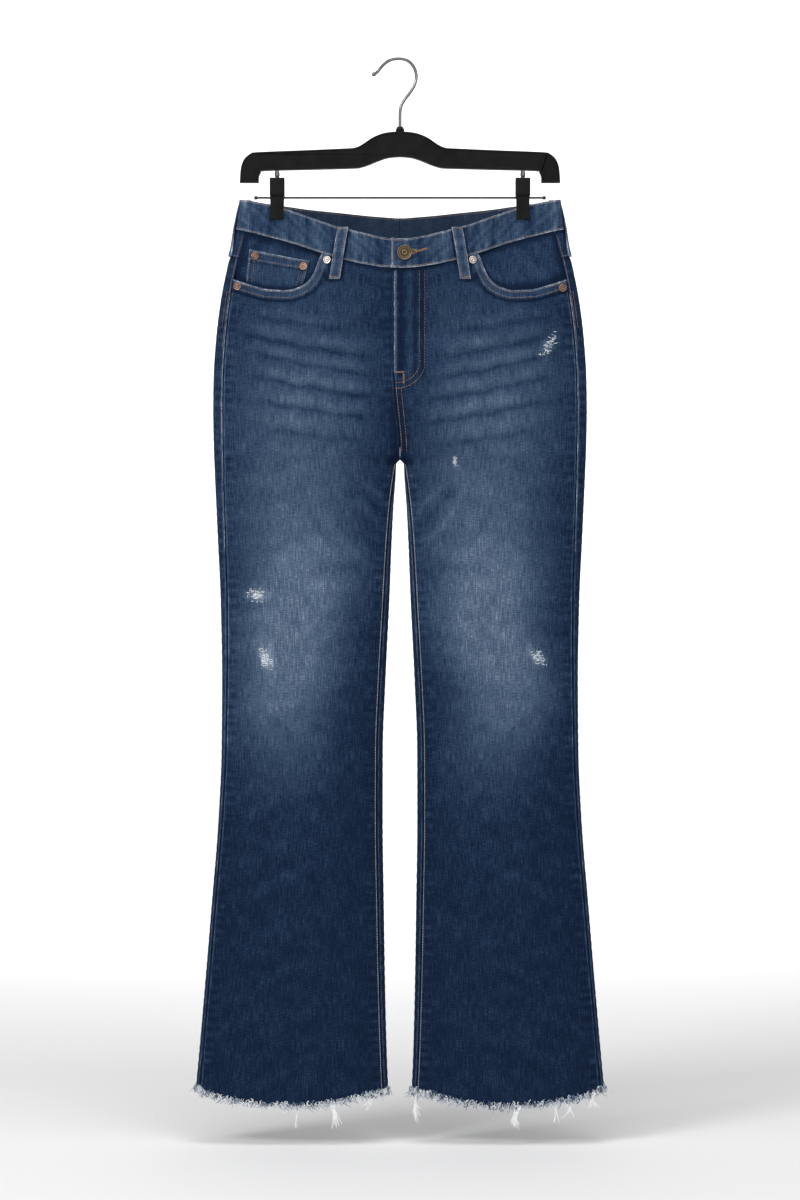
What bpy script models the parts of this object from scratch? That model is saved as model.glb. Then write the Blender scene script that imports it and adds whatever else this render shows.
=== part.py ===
"""High-rise flared jeans with raw frayed hems, hung by the waistband from a clip hanger.

Lengths in the tables are millimetres and become metres as the vertices are placed. The origin is the inner
top of the hanger's hook, +X is the wearer's left and the garment's front faces -Y. Each half of the garment
is a ring of cloth that changes with height: two folds, an outer and an inner one, and a shallow front and
back between them. Every piece of cloth takes its points from that ring.
"""

import math
import random
from bisect import bisect_right
from typing import NamedTuple

import bmesh
import bpy
from mathutils import Vector

MM = 0.001
FRONT, BACK = -1, 1
LEFT, RIGHT = 1, -1
SIDE_NAMES = {LEFT: "left", RIGHT: "right"}

# Cloth
SEAM_GAP = 0.3
SLANT_SHARE, STRAIGHT_SHARE = 1.6, 1.1
DENIM = 1.2
FACING_LIFT, COIN_LIFT, COIN_FACING_LIFT = -1.5, -1.5, -3.4
OPENING_RISE = 0.9
BAND_OUT, BAND_IN = 0.8, -1.8
LOOP_THICK = 1.6
PATCH_LIFT = 0.7
CROTCH_Z = -505.0

# Centre front lap: how far each front reaches across the middle
FLY_EDGE = 7.6
FLY_BOTTOM = -395.0
BAND_END_LEFT = 10.7
BAND_END_RIGHT = 22.0
BAND_LAP = 1.45
BAND_LAP_LEFT, BAND_LAP_RIGHT = (60, 25), (45, 14)

# Hanger
WIRE_RADIUS = 2.1
COLLAR_RADIUS = 5.4
COLLAR_TOP, COLLAR_BOTTOM = -83.9, -89.9
BODY_HALF_DEPTH = 6.0
BODY_BEVEL = 1.5
CLIP_X = 155.0
PIN_RADIUS = 3.1
PIN_TOP, PIN_BOTTOM = -139.4, -148.5
ROD_Z, ROD_RADIUS, ROD_HALF = -173.5, 1.25, 184.0
CLIP_TOP, CLIP_STEP, CLIP_BOTTOM = -148.8, -171.0, -200.8
CLIP_WIDE, CLIP_NARROW = 9.25, 8.2

# Metal on the cloth
BUTTON_X, BUTTON_Z, BUTTON_RADIUS, BUTTON_HIGH = 5.6, -245.5, 9.3, 3.0
RIVET_RADIUS, RIVET_HIGH = 4.8, 1.3

# Frayed hem
FRAY_DEPTH = 3.0
FRAY_LOCKS = 52
FRAY_SEED = 7
LEG_MIDDLE = 137.0
TUFT_EVERY, TUFT_FIRST = 17, 5
TUFT_LENGTH = (18.0, 27.0)
LOCK_LENGTH = (4.5, 10.5)
LOCK_LEAN = (0.9, 0.5)
TIP_SHARE = 0.45

DENIM_BLUE = (0.035, 0.085, 0.19)
DENIM_DARK = (0.02, 0.045, 0.11)
DENIM_PALE = (0.33, 0.42, 0.55)
BRASS = (0.27, 0.19, 0.11)
COPPER = (0.45, 0.22, 0.13)
SILVER = (0.66, 0.62, 0.58)
STEEL = (0.78, 0.78, 0.8)
BLACK = (0.012, 0.012, 0.013)
SHARP_DEGREES = 40
CLOTH_ROUGHNESS = 0.85


class Section(NamedTuple):
    """One level of a half: its two folds from the middle, and how deep its front and back swell."""

    z: float
    outer: float
    inner: float
    front: float
    back: float


SECTIONS = (
    Section(-170, 201.4, -201.4, 29, 27),
    Section(-214, 206.3, -206.3, 29, 28),
    Section(-257, 217.0, -217.0, 28, 30),
    Section(-302, 226.0, -226.0, 27, 33),
    Section(-353, 232.3, -220.0, 26, 35),
    Section(-403, 235.4, -184.0, 25, 35),
    Section(-441, 235.9, -132.0, 25, 33),
    Section(-470, 235.5, -78.0, 24, 31),
    Section(-490, 235.0, -32.0, 23, 28),
    Section(-500, 234.7, -9.0, 23, 26),
    Section(-505, 234.5, 0.0, 22, 25),
    Section(-510, 234.2, 4.2, 22, 25),
    Section(-530, 233.4, 5.7, 21, 24),
    Section(-560, 232.0, 8.0, 20, 23),
    Section(-605, 229.9, 10.3, 19, 21),
    Section(-680, 226.4, 13.3, 18, 19),
    Section(-780, 224.6, 18.2, 16, 17),
    Section(-870, 225.2, 21.6, 16, 16),
    Section(-960, 229.2, 21.8, 16, 17),
    Section(-1060, 237.3, 20.4, 17, 18),
    Section(-1160, 245.5, 18.9, 17, 19),
    Section(-1260, 254.2, 16.4, 18, 20),
    Section(-1330, 261.0, 13.0, 18, 21),
)


class Pinch(NamedTuple):
    """Half depth of the waist across its width: open in the middle, closed where the clips grip."""

    x: float
    half_depth: float


WAIST = (
    Pinch(0, 30.0),
    Pinch(40, 28.6),
    Pinch(80, 21.8),
    Pinch(112, 11.0),
    Pinch(131, 4.4),
    Pinch(140, 2.1),
    Pinch(170, 2.1),
    Pinch(179, 4.2),
    Pinch(191, 7.2),
    Pinch(215, 7.8),
)
PINCH_FULL, PINCH_GONE = -200.0, -345.0
EDGE_ROUND, WAIST_SQUARE = 3.0, 21.0


class Edge(NamedTuple):
    """A height along a curve that runs across the garment."""

    x: float
    z: float


BAND_TOP_FRONT = (
    Edge(0, -228.2), Edge(12, -227.6), Edge(61, -216.8), Edge(83, -210.8),
    Edge(110, -200.2), Edge(145, -187.6), Edge(165, -182.0), Edge(201, -176.0),
)
BAND_TOP_BACK = (
    Edge(0, -196.5), Edge(45, -193.0), Edge(80, -190.0), Edge(117, -187.6),
    Edge(145, -184.4), Edge(165, -181.4), Edge(201, -176.0),
)
WAIST_SEAM_FRONT = (
    Edge(0, -265.0), Edge(12, -264.5), Edge(40, -261.0), Edge(68, -254.8),
    Edge(92, -247.6), Edge(140, -230.6), Edge(175, -221.2), Edge(206, -214.0),
)
WAIST_SEAM_BACK = (
    Edge(0, -234.0), Edge(45, -230.8), Edge(80, -228.0), Edge(117, -225.4),
    Edge(145, -222.4), Edge(175, -218.4), Edge(206, -214.0),
)
YOKE_SEAM = (Edge(0, -296.0), Edge(60, -284.0), Edge(120, -269.0), Edge(180, -254.0), Edge(218, -248.0))
SCOOP = (
    Edge(97.5, -246.0), Edge(101.0, -252.0), Edge(106.0, -265.5), Edge(114.0, -279.5), Edge(126.0, -288.0),
    Edge(143.0, -292.0), Edge(164.0, -291.0), Edge(188.0, -285.0), Edge(210.0, -277.5),
)
HEM = (
    Edge(12, -1299.0), Edge(40, -1303.5), Edge(65, -1309.0), Edge(95, -1314.5), Edge(130, -1317.0),
    Edge(165, -1315.5), Edge(205, -1311.0), Edge(240, -1303.0), Edge(261, -1293.0),
)


class Inset(NamedTuple):
    """How far inside the silhouette each leg seam lies on the front."""

    z: float
    outseam: float
    inseam: float


INSETS = (
    Inset(-214, 12.0, 0.0),
    Inset(-403, 12.5, 0.0),
    Inset(-505, 12.0, 0.0),
    Inset(-540, 11.0, 3.0),
    Inset(-650, 9.0, 6.2),
    Inset(-760, 7.0, 7.2),
    Inset(-960, 5.0, 7.4),
    Inset(-1330, 5.0, 6.0),
)


class Fold(NamedTuple):
    """A soft trough or ridge in a panel: where it is, how wide and long, how it leans, and how high."""

    side: int
    face: int
    x: float
    z: float
    width: float
    length: float
    lean: float
    height: float


FOLDS = (
    Fold(LEFT, FRONT, 60, -565, 20, 60, 0.35, -2.4),
    Fold(LEFT, FRONT, 95, -640, 26, 95, 0.12, 1.8),
    Fold(RIGHT, FRONT, 66, -580, 22, 66, 0.38, -2.2),
    Fold(RIGHT, FRONT, 120, -610, 30, 100, 0.08, 1.9),
    Fold(LEFT, FRONT, 150, -880, 34, 150, -0.04, 1.6),
    Fold(RIGHT, FRONT, 92, -900, 30, 150, 0.05, 1.5),
    Fold(LEFT, FRONT, 100, -1230, 22, 120, -0.08, 2.4),
    Fold(LEFT, FRONT, 178, -1250, 24, 140, -0.14, -2.2),
    Fold(RIGHT, FRONT, 84, -1240, 22, 125, -0.05, -2.0),
    Fold(RIGHT, FRONT, 168, -1225, 26, 130, -0.12, 2.4),
    Fold(LEFT, BACK, 62, -560, 22, 62, 0.4, -2.6),
    Fold(RIGHT, BACK, 70, -548, 24, 58, 0.36, -2.4),
    Fold(LEFT, BACK, 128, -800, 34, 130, 0.05, -1.8),
    Fold(RIGHT, BACK, 118, -770, 32, 120, -0.04, -2.0),
    Fold(LEFT, BACK, 120, -1240, 26, 130, -0.1, 2.6),
    Fold(RIGHT, BACK, 150, -1235, 28, 140, -0.1, -2.2),
)

FRONT_ROWS = (
    -265, -276, -289, -306, -328, -356, -388, -425, -458, -482, -496, -505,
    -514, -535, -575, -640, -730, -830, -930, -1030, -1120, -1200, -1262, -1317,
)
BACK_ROWS = (-296, -306, -317, *FRONT_ROWS[4:])
FRONT_SHARES = (0, 0.06, 0.14, 0.23, 0.31, 0.372, 0.395, 0.418, 0.452, 0.505, 0.58, 0.69, 0.81, 0.91, 1)
BACK_CELLS = 16
BAND_STATIONS = (0.1, 0.22, 0.35, 0.47, 0.57, 0.645, 0.7, 0.768, 0.836, 0.89, 0.935, 0.968, 0.99)
FRONT_SETTLED, BACK_SETTLED = FRONT_ROWS[3], BACK_ROWS[3]
HEM_FADE = (-1130, -1305)
YOKE_START, BAND_START, FACING_START = -240.0, -200.0, -240.0
SETTLE_ROUNDS = 4


class Loop(NamedTuple):
    """A belt loop: its upper and lower end on the garment."""

    top: Edge
    bottom: Edge


LOOP_HALF = 6.7
FRONT_LOOP = Loop(Edge(71.0, -213.2), Edge(82.0, -278.5))
BACK_LOOP = Loop(Edge(0.0, -195.6), Edge(0.0, -260.0))
SIDE_LOOP_TOP, SIDE_LOOP_BOTTOM = -175.4, -248.0
SIDE_LOOP_TURN_TOP, SIDE_LOOP_TURN_BOTTOM = 0.25, 0.0
SIDE_LOOP_HALF_TOP, SIDE_LOOP_HALF_BOTTOM = 0.12, 0.19
LOOP_STAND = ((0.0, 1.4), (0.15, 2.4), (0.5, 2.8), (0.64, 2.2), (0.85, 1.1), (1.0, 0.8))


class Outline(NamedTuple):
    """A turn of the hanger body's right-hand edge."""

    x: float
    z: float


HANGER_EDGE = (
    Outline(0, -90.2), Outline(12, -91.0), Outline(23.3, -93.2), Outline(34.7, -98.0), Outline(44, -104.2),
    Outline(51, -108.6), Outline(58, -111.0), Outline(66, -111.6), Outline(180, -116.4), Outline(188.5, -118.4),
    Outline(195.5, -124.0), Outline(199.6, -132.0), Outline(201.2, -141.0), Outline(202, -154.6),
    Outline(178.2, -154.6), Outline(178.0, -147.0), Outline(175.6, -141.8), Outline(170.5, -139.4),
    Outline(60, -136.4), Outline(50, -135.4), Outline(40, -132.4), Outline(29, -127.8), Outline(15, -123.2),
    Outline(0, -121.8),
)
HOOK_ROUTE = (
    Outline(-33.0, -17.6), Outline(-28.6, -14.6), Outline(-22.4, -7.2), Outline(-13.6, -0.2), Outline(-2.0, 2.1),
    Outline(9.6, -0.4), Outline(17.8, -9.0), Outline(20.6, -20.2), Outline(18.2, -31.2), Outline(12.2, -41.2),
    Outline(5.9, -49.6), Outline(1.5, -57.4), Outline(0.2, -65.0), Outline(0.0, -74.0), Outline(0.0, -83.6),
)
HOOK_STEPS = 3


class Curve:
    """A smooth curve through a table's rows that never overshoots them."""

    def __init__(self, rows):
        rows = sorted(rows)
        self.at = [row[0] for row in rows]
        self.value = [row[1] for row in rows]
        steps = [
            (self.value[i + 1] - self.value[i]) / (self.at[i + 1] - self.at[i]) for i in range(len(rows) - 1)
        ]
        self.slope = [steps[0]]
        for before, after in zip(steps, steps[1:]):
            self.slope.append(2 * before * after / (before + after) if before * after > 0 else 0.0)
        self.slope.append(steps[-1])

    def __call__(self, at):
        if at <= self.at[0]:
            return self.value[0]
        if at >= self.at[-1]:
            return self.value[-1]
        i = bisect_right(self.at, at) - 1
        span = self.at[i + 1] - self.at[i]
        t = (at - self.at[i]) / span
        return (
            self.value[i] * (1 + 2 * t) * (1 - t) ** 2
            + self.value[i + 1] * t * t * (3 - 2 * t)
            + self.slope[i] * span * t * (1 - t) ** 2
            - self.slope[i + 1] * span * t * t * (1 - t)
        )


OUTER = Curve([(row.z, row.outer) for row in SECTIONS])
INNER = Curve([(row.z, row.inner) for row in SECTIONS])
SWELL = {
    FRONT: Curve([(row.z, row.front) for row in SECTIONS]),
    BACK: Curve([(row.z, row.back) for row in SECTIONS]),
}
WAIST_DEPTH = Curve(WAIST)
OUTSEAM = Curve([(row.z, row.outseam) for row in INSETS])
INSEAM = Curve([(row.z, row.inseam) for row in INSETS])
BAND_TOP = {FRONT: Curve(BAND_TOP_FRONT), BACK: Curve(BAND_TOP_BACK)}
WAIST_SEAM = {FRONT: Curve(WAIST_SEAM_FRONT), BACK: Curve(WAIST_SEAM_BACK)}
YOKE_LINE = Curve(YOKE_SEAM)
SCOOP_LINE = Curve(SCOOP)
HEM_LINE = Curve(HEM)
STAND = Curve(LOOP_STAND)


def mix(low, high, share):
    return low + (high - low) * share


def ease(start, end, at):
    """Smooth step from 0 at start to 1 at end."""
    t = min(max((at - start) / (end - start), 0.0), 1.0)
    return t * t * (3 - 2 * t)


def fade(full, gone, at):
    """Straight share from 1 at full to 0 at gone and past it."""
    return min(max((at - gone) / (full - gone), 0.0), 1.0)


def pinched(z):
    """How far the clips' grip rules the depth at a height."""
    return ease(PINCH_GONE, PINCH_FULL, z)


def folds(side, face, x, z):
    """Height of the soft folds at a place on a panel."""
    height = 0.0
    for fold in FOLDS:
        if fold.side == side and fold.face == face:
            down = (z - fold.z) / fold.length
            across = (x - fold.x - fold.lean * (z - fold.z)) / fold.width
            if abs(down) < 3 and abs(across) < 3:
                height += fold.height * math.exp(-down * down - across * across)
    return height


class Half:
    """The ring of cloth of one half; x counts outwards from the middle and is mirrored for the right."""

    def __init__(self, side):
        self.side = side

    def spread(self, z):
        """Middle and half width of the ring at a height."""
        return (OUTER(z) + INNER(z)) / 2, (OUTER(z) - INNER(z)) / 2

    def swell(self, x, z, face):
        """Depth of a face before its edges round off."""
        grip = pinched(z)
        return mix(SWELL[face](z) + folds(self.side, face, x, z), WAIST_DEPTH(x), grip)

    def roundness(self, z):
        return EDGE_ROUND + WAIST_SQUARE * pinched(z) ** 2

    def level(self, x, y, z):
        """Below zero inside the cloth's outer face, above it outside."""
        middle, half = self.spread(z)
        face = FRONT if y < 0 else BACK
        across = abs(abs(x) - middle) / half
        return across ** self.roundness(z) + (y / self.swell(abs(x), z, face)) ** 2 - 1

    def depth(self, x, z, face):
        """Y of the outer face at a place on the front or back."""
        middle, half = self.spread(z)
        across = min(abs(abs(x) - middle) / half, 1.0)
        return face * self.swell(abs(x), z, face) * math.sqrt(1 - across ** self.roundness(z))

    def outward(self, x, y, z):
        """Direction straight out of the cloth."""
        step = 0.02
        slope = Vector((
            self.level(x + step, y, z) - self.level(x - step, y, z),
            self.level(x, y + step, z) - self.level(x, y - step, z),
            self.level(x, y, z + step) - self.level(x, y, z - step),
        ))
        return slope.normalized()

    def placed(self, x, y, z, lift):
        """A point moved out of the cloth, in metres and on the right side."""
        point = Vector((x, y, z)) + self.outward(x, y, z) * lift
        return Vector((point.x * self.side, point.y, point.z)) * MM

    def on_face(self, x, z, face, lift):
        return self.placed(x, self.depth(x, z, face), z, lift)

    def around(self, turn, z):
        """Place at an angle round the ring: 0 inner fold, pi outer fold, past pi the back."""
        middle, half = self.spread(z)
        x = middle - half * math.cos(turn)
        face = FRONT if math.sin(turn) >= 0 else BACK
        return x, self.depth(x, z, face)

    def turn_at(self, x, z):
        """Angle on the front of a place at x; its mirror past pi is the same x on the back."""
        middle, half = self.spread(z)
        return math.acos(min(max((middle - x) / half, -1.0), 1.0))

    def turned(self, turn, z, lift):
        x, y = self.around(turn, z)
        return self.placed(x, y, z, lift)

    def facing(self, turn):
        return FRONT if math.sin(turn) >= 0 else BACK


HALVES = {LEFT: Half(LEFT), RIGHT: Half(RIGHT)}


def fly_reach(side, z):
    """How far the centre front seam lies off the middle, in the half's own x."""
    return -side * FLY_EDGE * ease(CROTCH_Z + 8, FLY_BOTTOM, z)


def outseam_turn(half, z):
    return half.turn_at(OUTER(z) - OUTSEAM(z), z)


def inner_turn(half, z, front):
    """Angle where a panel ends towards the middle: the rise above the crotch, the inseam below."""
    if z >= CROTCH_Z:
        reach = fly_reach(half.side, z) if front else 0.0
        turn = half.turn_at(max(reach, INNER(z)), z)
        return turn if front else math.tau - turn
    turn = half.turn_at(INNER(z) + INSEAM(z), z)
    return turn if front else math.tau + turn


def material(name, color, roughness, metallic=0.0):
    made = bpy.data.materials.new(name)
    made.use_nodes = True
    shader = made.node_tree.nodes["Principled BSDF"]
    shader.inputs["Base Color"].default_value = (*color, 1)
    shader.inputs["Roughness"].default_value = roughness
    shader.inputs["Metallic"].default_value = metallic
    return made


def finish(name, bm, color, roughness, metallic=0.0):
    bmesh.ops.recalc_face_normals(bm, faces=bm.faces[:])
    mesh = bpy.data.meshes.new(name)
    bm.to_mesh(mesh)
    bm.free()
    mesh.shade_smooth()
    mesh.set_sharp_from_angle(angle=math.radians(SHARP_DEGREES))
    mesh.materials.append(material(name, color, roughness, metallic))
    thing = bpy.data.objects.new(name, mesh)
    bpy.context.scene.collection.objects.link(thing)


def sheet(columns, rows, place):
    """A sheet with thickness: place gives the point of a column, a row and a skin, 0 outer or 1 inner."""
    bm = bmesh.new()
    bmesh.ops.create_grid(bm, x_segments=columns, y_segments=rows, size=1)
    outer = bm.verts[:]
    made = bmesh.ops.extrude_face_region(bm, geom=bm.faces[:], use_keep_orig=True)
    inner = [item for item in made["geom"] if isinstance(item, bmesh.types.BMVert)]
    for skin, verts in enumerate((outer, inner)):
        for vert in verts:
            column = round((vert.co.x + 1) / 2 * columns)
            row = round((1 - vert.co.y) / 2 * rows)
            vert.co = place(column, row, skin)
    return bm


def front_top(x):
    """Upper edge of a front: the waist seam, then the pocket's scoop."""
    return WAIST_SEAM[FRONT](x) - SEAM_GAP / 2 if x < SCOOP[0].x else SCOOP_LINE(x)


def seam_turn(half, turn, z):
    """Angle that is half a seam's gap along the ring; a slanting seam has a little more."""
    step = 0.01
    x0, y0 = half.around(turn - step, z)
    x1, y1 = half.around(turn + step, z)
    slanting = CROTCH_Z - 60 < z < CROTCH_Z + 5
    half_gap = SEAM_GAP / 2 * (SLANT_SHARE if slanting else STRAIGHT_SHARE)
    return half_gap * 2 * step / math.hypot(x1 - x0, y1 - y0)


def settle(half, turn_of, row_z, shift):
    """Height and angle of a panel point whose row bends with x."""
    z = row_z
    for _ in range(SETTLE_ROUNDS):
        x, _y = half.around(turn_of(z), z)
        z = row_z + shift(abs(x))
    return turn_of(z), z


def build_front(side):
    half = HALVES[side]
    top, bottom = FRONT_ROWS[0], FRONT_ROWS[-1]

    def place(column, row, skin):
        share = FRONT_SHARES[column]
        row_z = FRONT_ROWS[row]
        waist, hem = fade(top, FRONT_SETTLED, row_z), ease(*HEM_FADE, row_z)

        def turn_of(z):
            start, end = inner_turn(half, z, True), outseam_turn(half, z)
            return mix(start + seam_turn(half, start, z), end - seam_turn(half, end, z), share)

        def shift(x):
            return (front_top(x) - top) * waist + (HEM_LINE(x) - bottom) * hem

        turn, z = settle(half, turn_of, row_z, shift)
        return half.turned(turn, z, -DENIM * skin)

    bm = sheet(len(FRONT_SHARES) - 1, len(FRONT_ROWS) - 1, place)
    finish(f"front_{SIDE_NAMES[side]}", bm, DENIM_BLUE, CLOTH_ROUGHNESS)


def build_back(side):
    half = HALVES[side]
    top, bottom = BACK_ROWS[0], BACK_ROWS[-1]

    def place(column, row, skin):
        share = column / BACK_CELLS
        row_z = BACK_ROWS[row]
        waist, hem = fade(top, BACK_SETTLED, row_z), ease(*HEM_FADE, row_z)

        def turn_of(z):
            start, end = outseam_turn(half, z), inner_turn(half, z, False)
            return mix(start + seam_turn(half, start, z), end - seam_turn(half, end, z), share)

        def shift(x):
            return (YOKE_LINE(x) - SEAM_GAP / 2 - top) * waist + (HEM_LINE(x) - bottom) * hem

        turn, z = settle(half, turn_of, row_z, shift)
        return half.turned(turn, z, -DENIM * skin)

    bm = sheet(BACK_CELLS, len(BACK_ROWS) - 1, place)
    finish(f"back_{SIDE_NAMES[side]}", bm, DENIM_BLUE, CLOTH_ROUGHNESS)


def build_yoke(side):
    half = HALVES[side]
    rows = 3

    def place(column, row, skin):
        share = column / BACK_CELLS
        z = YOKE_START
        for _ in range(SETTLE_ROUNDS):
            start, end = outseam_turn(half, z), inner_turn(half, z, False)
            turn = mix(start + seam_turn(half, start, z), end - seam_turn(half, end, z), share)
            x, _y = half.around(turn, z)
            upper = WAIST_SEAM[half.facing(turn)](abs(x)) - SEAM_GAP / 2
            z = mix(upper, YOKE_LINE(abs(x)) + SEAM_GAP / 2, row / rows)
        return half.turned(turn, z, -DENIM * skin)

    finish(f"yoke_{SIDE_NAMES[side]}", sheet(BACK_CELLS, rows, place), DENIM_BLUE, CLOTH_ROUGHNESS)


def band_lap(side, x):
    """How far a waistband half is pushed out or in where its front ends lap."""
    if side == LEFT:
        return BAND_LAP * ease(*BAND_LAP_LEFT, x)
    return -BAND_LAP * ease(*BAND_LAP_RIGHT, x)


def build_waistband(side):
    half = HALVES[side]
    reach = BAND_END_LEFT if side == LEFT else BAND_END_RIGHT
    stations = (-reach / SECTIONS[0].outer, *BAND_STATIONS, 1.0)
    rows = 3
    tip = len(stations) - 1
    columns = 2 * tip

    def place(column, row, skin):
        z = BAND_START
        for _ in range(SETTLE_ROUNDS):
            station = stations[min(column, columns - column)] * OUTER(z)
            turn = half.turn_at(SEAM_GAP / 2 if column == columns else station, z)
            turn = turn if column <= tip else math.tau - turn
            x, _y = half.around(turn, z)
            face = half.facing(turn)
            lower = WAIST_SEAM[face](abs(x)) + SEAM_GAP / 2
            z = mix(BAND_TOP[face](abs(x)), lower, row / rows)
        lap = band_lap(side, x) if face == FRONT else 0.0
        return half.turned(turn, z, (BAND_IN if skin else BAND_OUT) + lap)

    finish(f"waistband_{SIDE_NAMES[side]}", sheet(columns, rows, place), DENIM_BLUE, CLOTH_ROUGHNESS)


def belt_loop(name, half, face, loop):
    rows, columns = 8, 2

    def place(column, row, skin):
        down = row / rows
        x = mix(loop.top.x, loop.bottom.x, down) + mix(-LOOP_HALF, LOOP_HALF, column / columns)
        z = mix(loop.top.z, loop.bottom.z, down)
        return half.on_face(x, z, face, STAND(down) + LOOP_THICK * (1 - skin))

    finish(name, sheet(columns, rows, place), DENIM_BLUE, CLOTH_ROUGHNESS)


def side_loop(side):
    half = HALVES[side]
    rows, columns = 8, 4

    def place(column, row, skin):
        down = row / rows
        turn = math.pi + mix(SIDE_LOOP_TURN_TOP, SIDE_LOOP_TURN_BOTTOM, down)
        reach = mix(SIDE_LOOP_HALF_TOP, SIDE_LOOP_HALF_BOTTOM, down)
        turn += mix(-reach, reach, column / columns)
        z = mix(SIDE_LOOP_TOP, SIDE_LOOP_BOTTOM, down)
        return half.turned(turn, z, STAND(down) + LOOP_THICK * (1 - skin))

    finish(f"belt_loop_side_{SIDE_NAMES[side]}", sheet(columns, rows, place), DENIM_BLUE, CLOTH_ROUGHNESS)


def pocket_rise(x, z):
    """How far the cloth inside a pocket opening comes up towards the front, above the scoop's edge."""
    return ease(2, 14, z - SCOOP_LINE(x)) * ease(110, 135, x)


def edge_rise(half, x, z):
    """How far a facing comes up to the seams that hold it."""
    waist = WAIST_SEAM[FRONT](x) - z
    side = OUTER(z) - OUTSEAM(z) - x
    return (1 - ease(1, 10, min(waist, side))) * pocket_rise(x, z)


def build_facing(side):
    half = HALVES[side]
    columns, rows = 10, 8
    inner_edge, bottom = 92.0, -312.0
    base = COIN_FACING_LIFT if side == RIGHT else FACING_LIFT

    def place(column, row, skin):
        down = row / rows
        z = FACING_START
        for _ in range(SETTLE_ROUNDS):
            x = mix(inner_edge, OUTER(z) - OUTSEAM(z) - SEAM_GAP, column / columns)
            z = mix(WAIST_SEAM[FRONT](x) - SEAM_GAP / 2, bottom, down)
        lift = base + OPENING_RISE * pocket_rise(x, z)
        lift = mix(lift, -SEAM_GAP, edge_rise(half, x, z))
        return half.on_face(x, z, FRONT, lift - DENIM * skin)

    finish(f"pocket_facing_{SIDE_NAMES[side]}", sheet(columns, rows, place), DENIM_BLUE, CLOTH_ROUGHNESS)


COIN_CORNERS = (Edge(190.0, -239.0), Edge(114.0, -254.5), Edge(196.0, -302.0), Edge(128.0, -304.0))


def build_coin_pocket():
    half = HALVES[RIGHT]
    columns, rows = 8, 7
    top_out, top_in, low_out, low_in = COIN_CORNERS

    def place(column, row, skin):
        across, down = column / columns, row / rows
        x = mix(mix(top_in.x, top_out.x, across), mix(low_in.x, low_out.x, across), down)
        z = mix(mix(top_in.z, top_out.z, across), mix(low_in.z, low_out.z, across), down)
        lift = COIN_LIFT + OPENING_RISE * pocket_rise(x, z)
        return half.on_face(x, z, FRONT, lift - DENIM * skin)

    finish("coin_pocket", sheet(columns, rows, place), DENIM_BLUE, CLOTH_ROUGHNESS)


class Patch(NamedTuple):
    """A back pocket: where its top middle is, its widths, its sides' height, its point and its slopes."""

    x: float
    z: float
    top: float
    bottom: float
    height: float
    point: float
    top_slope: float
    bottom_slope: float


BACK_POCKET = Patch(106.0, -291.0, 140.0, 118.0, 132.0, 22.0, 0.2, 0.08)


def build_back_pocket(side):
    half = HALVES[side]
    columns, rows = 8, 8

    def place(column, row, skin):
        across, down = column / columns * 2 - 1, row / rows
        out = across * mix(BACK_POCKET.top, BACK_POCKET.bottom, down) / 2
        reach = BACK_POCKET.height + BACK_POCKET.point * (1 - abs(across))
        x = BACK_POCKET.x + out
        z = BACK_POCKET.z + out * mix(BACK_POCKET.top_slope, BACK_POCKET.bottom_slope, down) - down * reach
        return half.on_face(x, z, BACK, PATCH_LIFT + DENIM * (1 - skin))

    finish(f"back_pocket_{SIDE_NAMES[side]}", sheet(columns, rows, place), DENIM_BLUE, CLOTH_ROUGHNESS)


class Strip(NamedTuple):
    """A strip behind the fly: its edges, its ends and the two depths of its faces."""

    name: str
    left: float
    right: float
    top: float
    bottom: float
    outer: float
    inner: float


FLY_SHIELD = Strip("fly_shield", -18.0, 30.0, -268.0, -398.0, -4.0, -5.2)
ZIP_TAPE = Strip("zip_tape", -12.0, 14.0, -268.0, -394.0, -1.5, -2.1)
ZIP_SLIDER = Strip("zip_slider", -2.0, 7.0, -270.0, -284.0, -2.4, -3.7)


def build_strip(strip, columns, rows, color, metallic):
    half = HALVES[LEFT]

    def place(column, row, skin):
        x = mix(strip.left, strip.right, column / columns)
        z = mix(strip.top, strip.bottom, row / rows)
        return half.on_face(x, z, FRONT, strip.inner if skin else strip.outer)

    finish(strip.name, sheet(columns, rows, place), color, 0.6, metallic)


def round_leg(face, side):
    """Angle of a face round its leg's middle, which puts a hem's faces in order."""
    middle = face.calc_center_median()
    return math.atan2(middle.y, middle.x - side * LEG_MIDDLE * MM)


def build_fray(side):
    """A narrow strip just under the hem, open at the inseam, with its locks drawn out of its lower edge."""
    half = HALVES[side]
    dice = random.Random(FRAY_SEED + side)
    columns = 2 * FRAY_LOCKS

    def place(column, row, skin):
        z = FRONT_ROWS[-1]
        for _ in range(SETTLE_ROUNDS):
            seam = half.turn_at(INNER(z) + INSEAM(z), z)
            gap = 2 * seam_turn(half, seam, z)
            turn = mix(seam + gap, seam + math.tau - gap, column / columns)
            x, _y = half.around(turn, z)
            z = HEM_LINE(x) - 1.5 * SEAM_GAP - FRAY_DEPTH * row
        return half.turned(turn, z, -DENIM * skin)

    bm = sheet(columns, 1, place)
    bmesh.ops.recalc_face_normals(bm, faces=bm.faces[:])
    under = [face for face in bm.faces if face.normal.z < -0.8]
    under.sort(key=lambda face: round_leg(face, side))
    for number, root in enumerate(under[::2]):
        tuft = number % TUFT_EVERY == TUFT_FIRST
        length = dice.uniform(*(TUFT_LENGTH if tuft else LOCK_LENGTH))
        sideways, forwards = (dice.uniform(-lean, lean) for lean in LOCK_LEAN)
        drop = Vector((sideways, forwards, -length)) * MM
        tip = bmesh.ops.extrude_discrete_faces(bm, faces=[root])["faces"][0]
        middle = tip.calc_center_median()
        for vert in tip.verts:
            vert.co = middle + (vert.co - middle) * TIP_SHARE + drop
    finish(f"fray_{SIDE_NAMES[side]}", bm, DENIM_PALE, 0.9)


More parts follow.
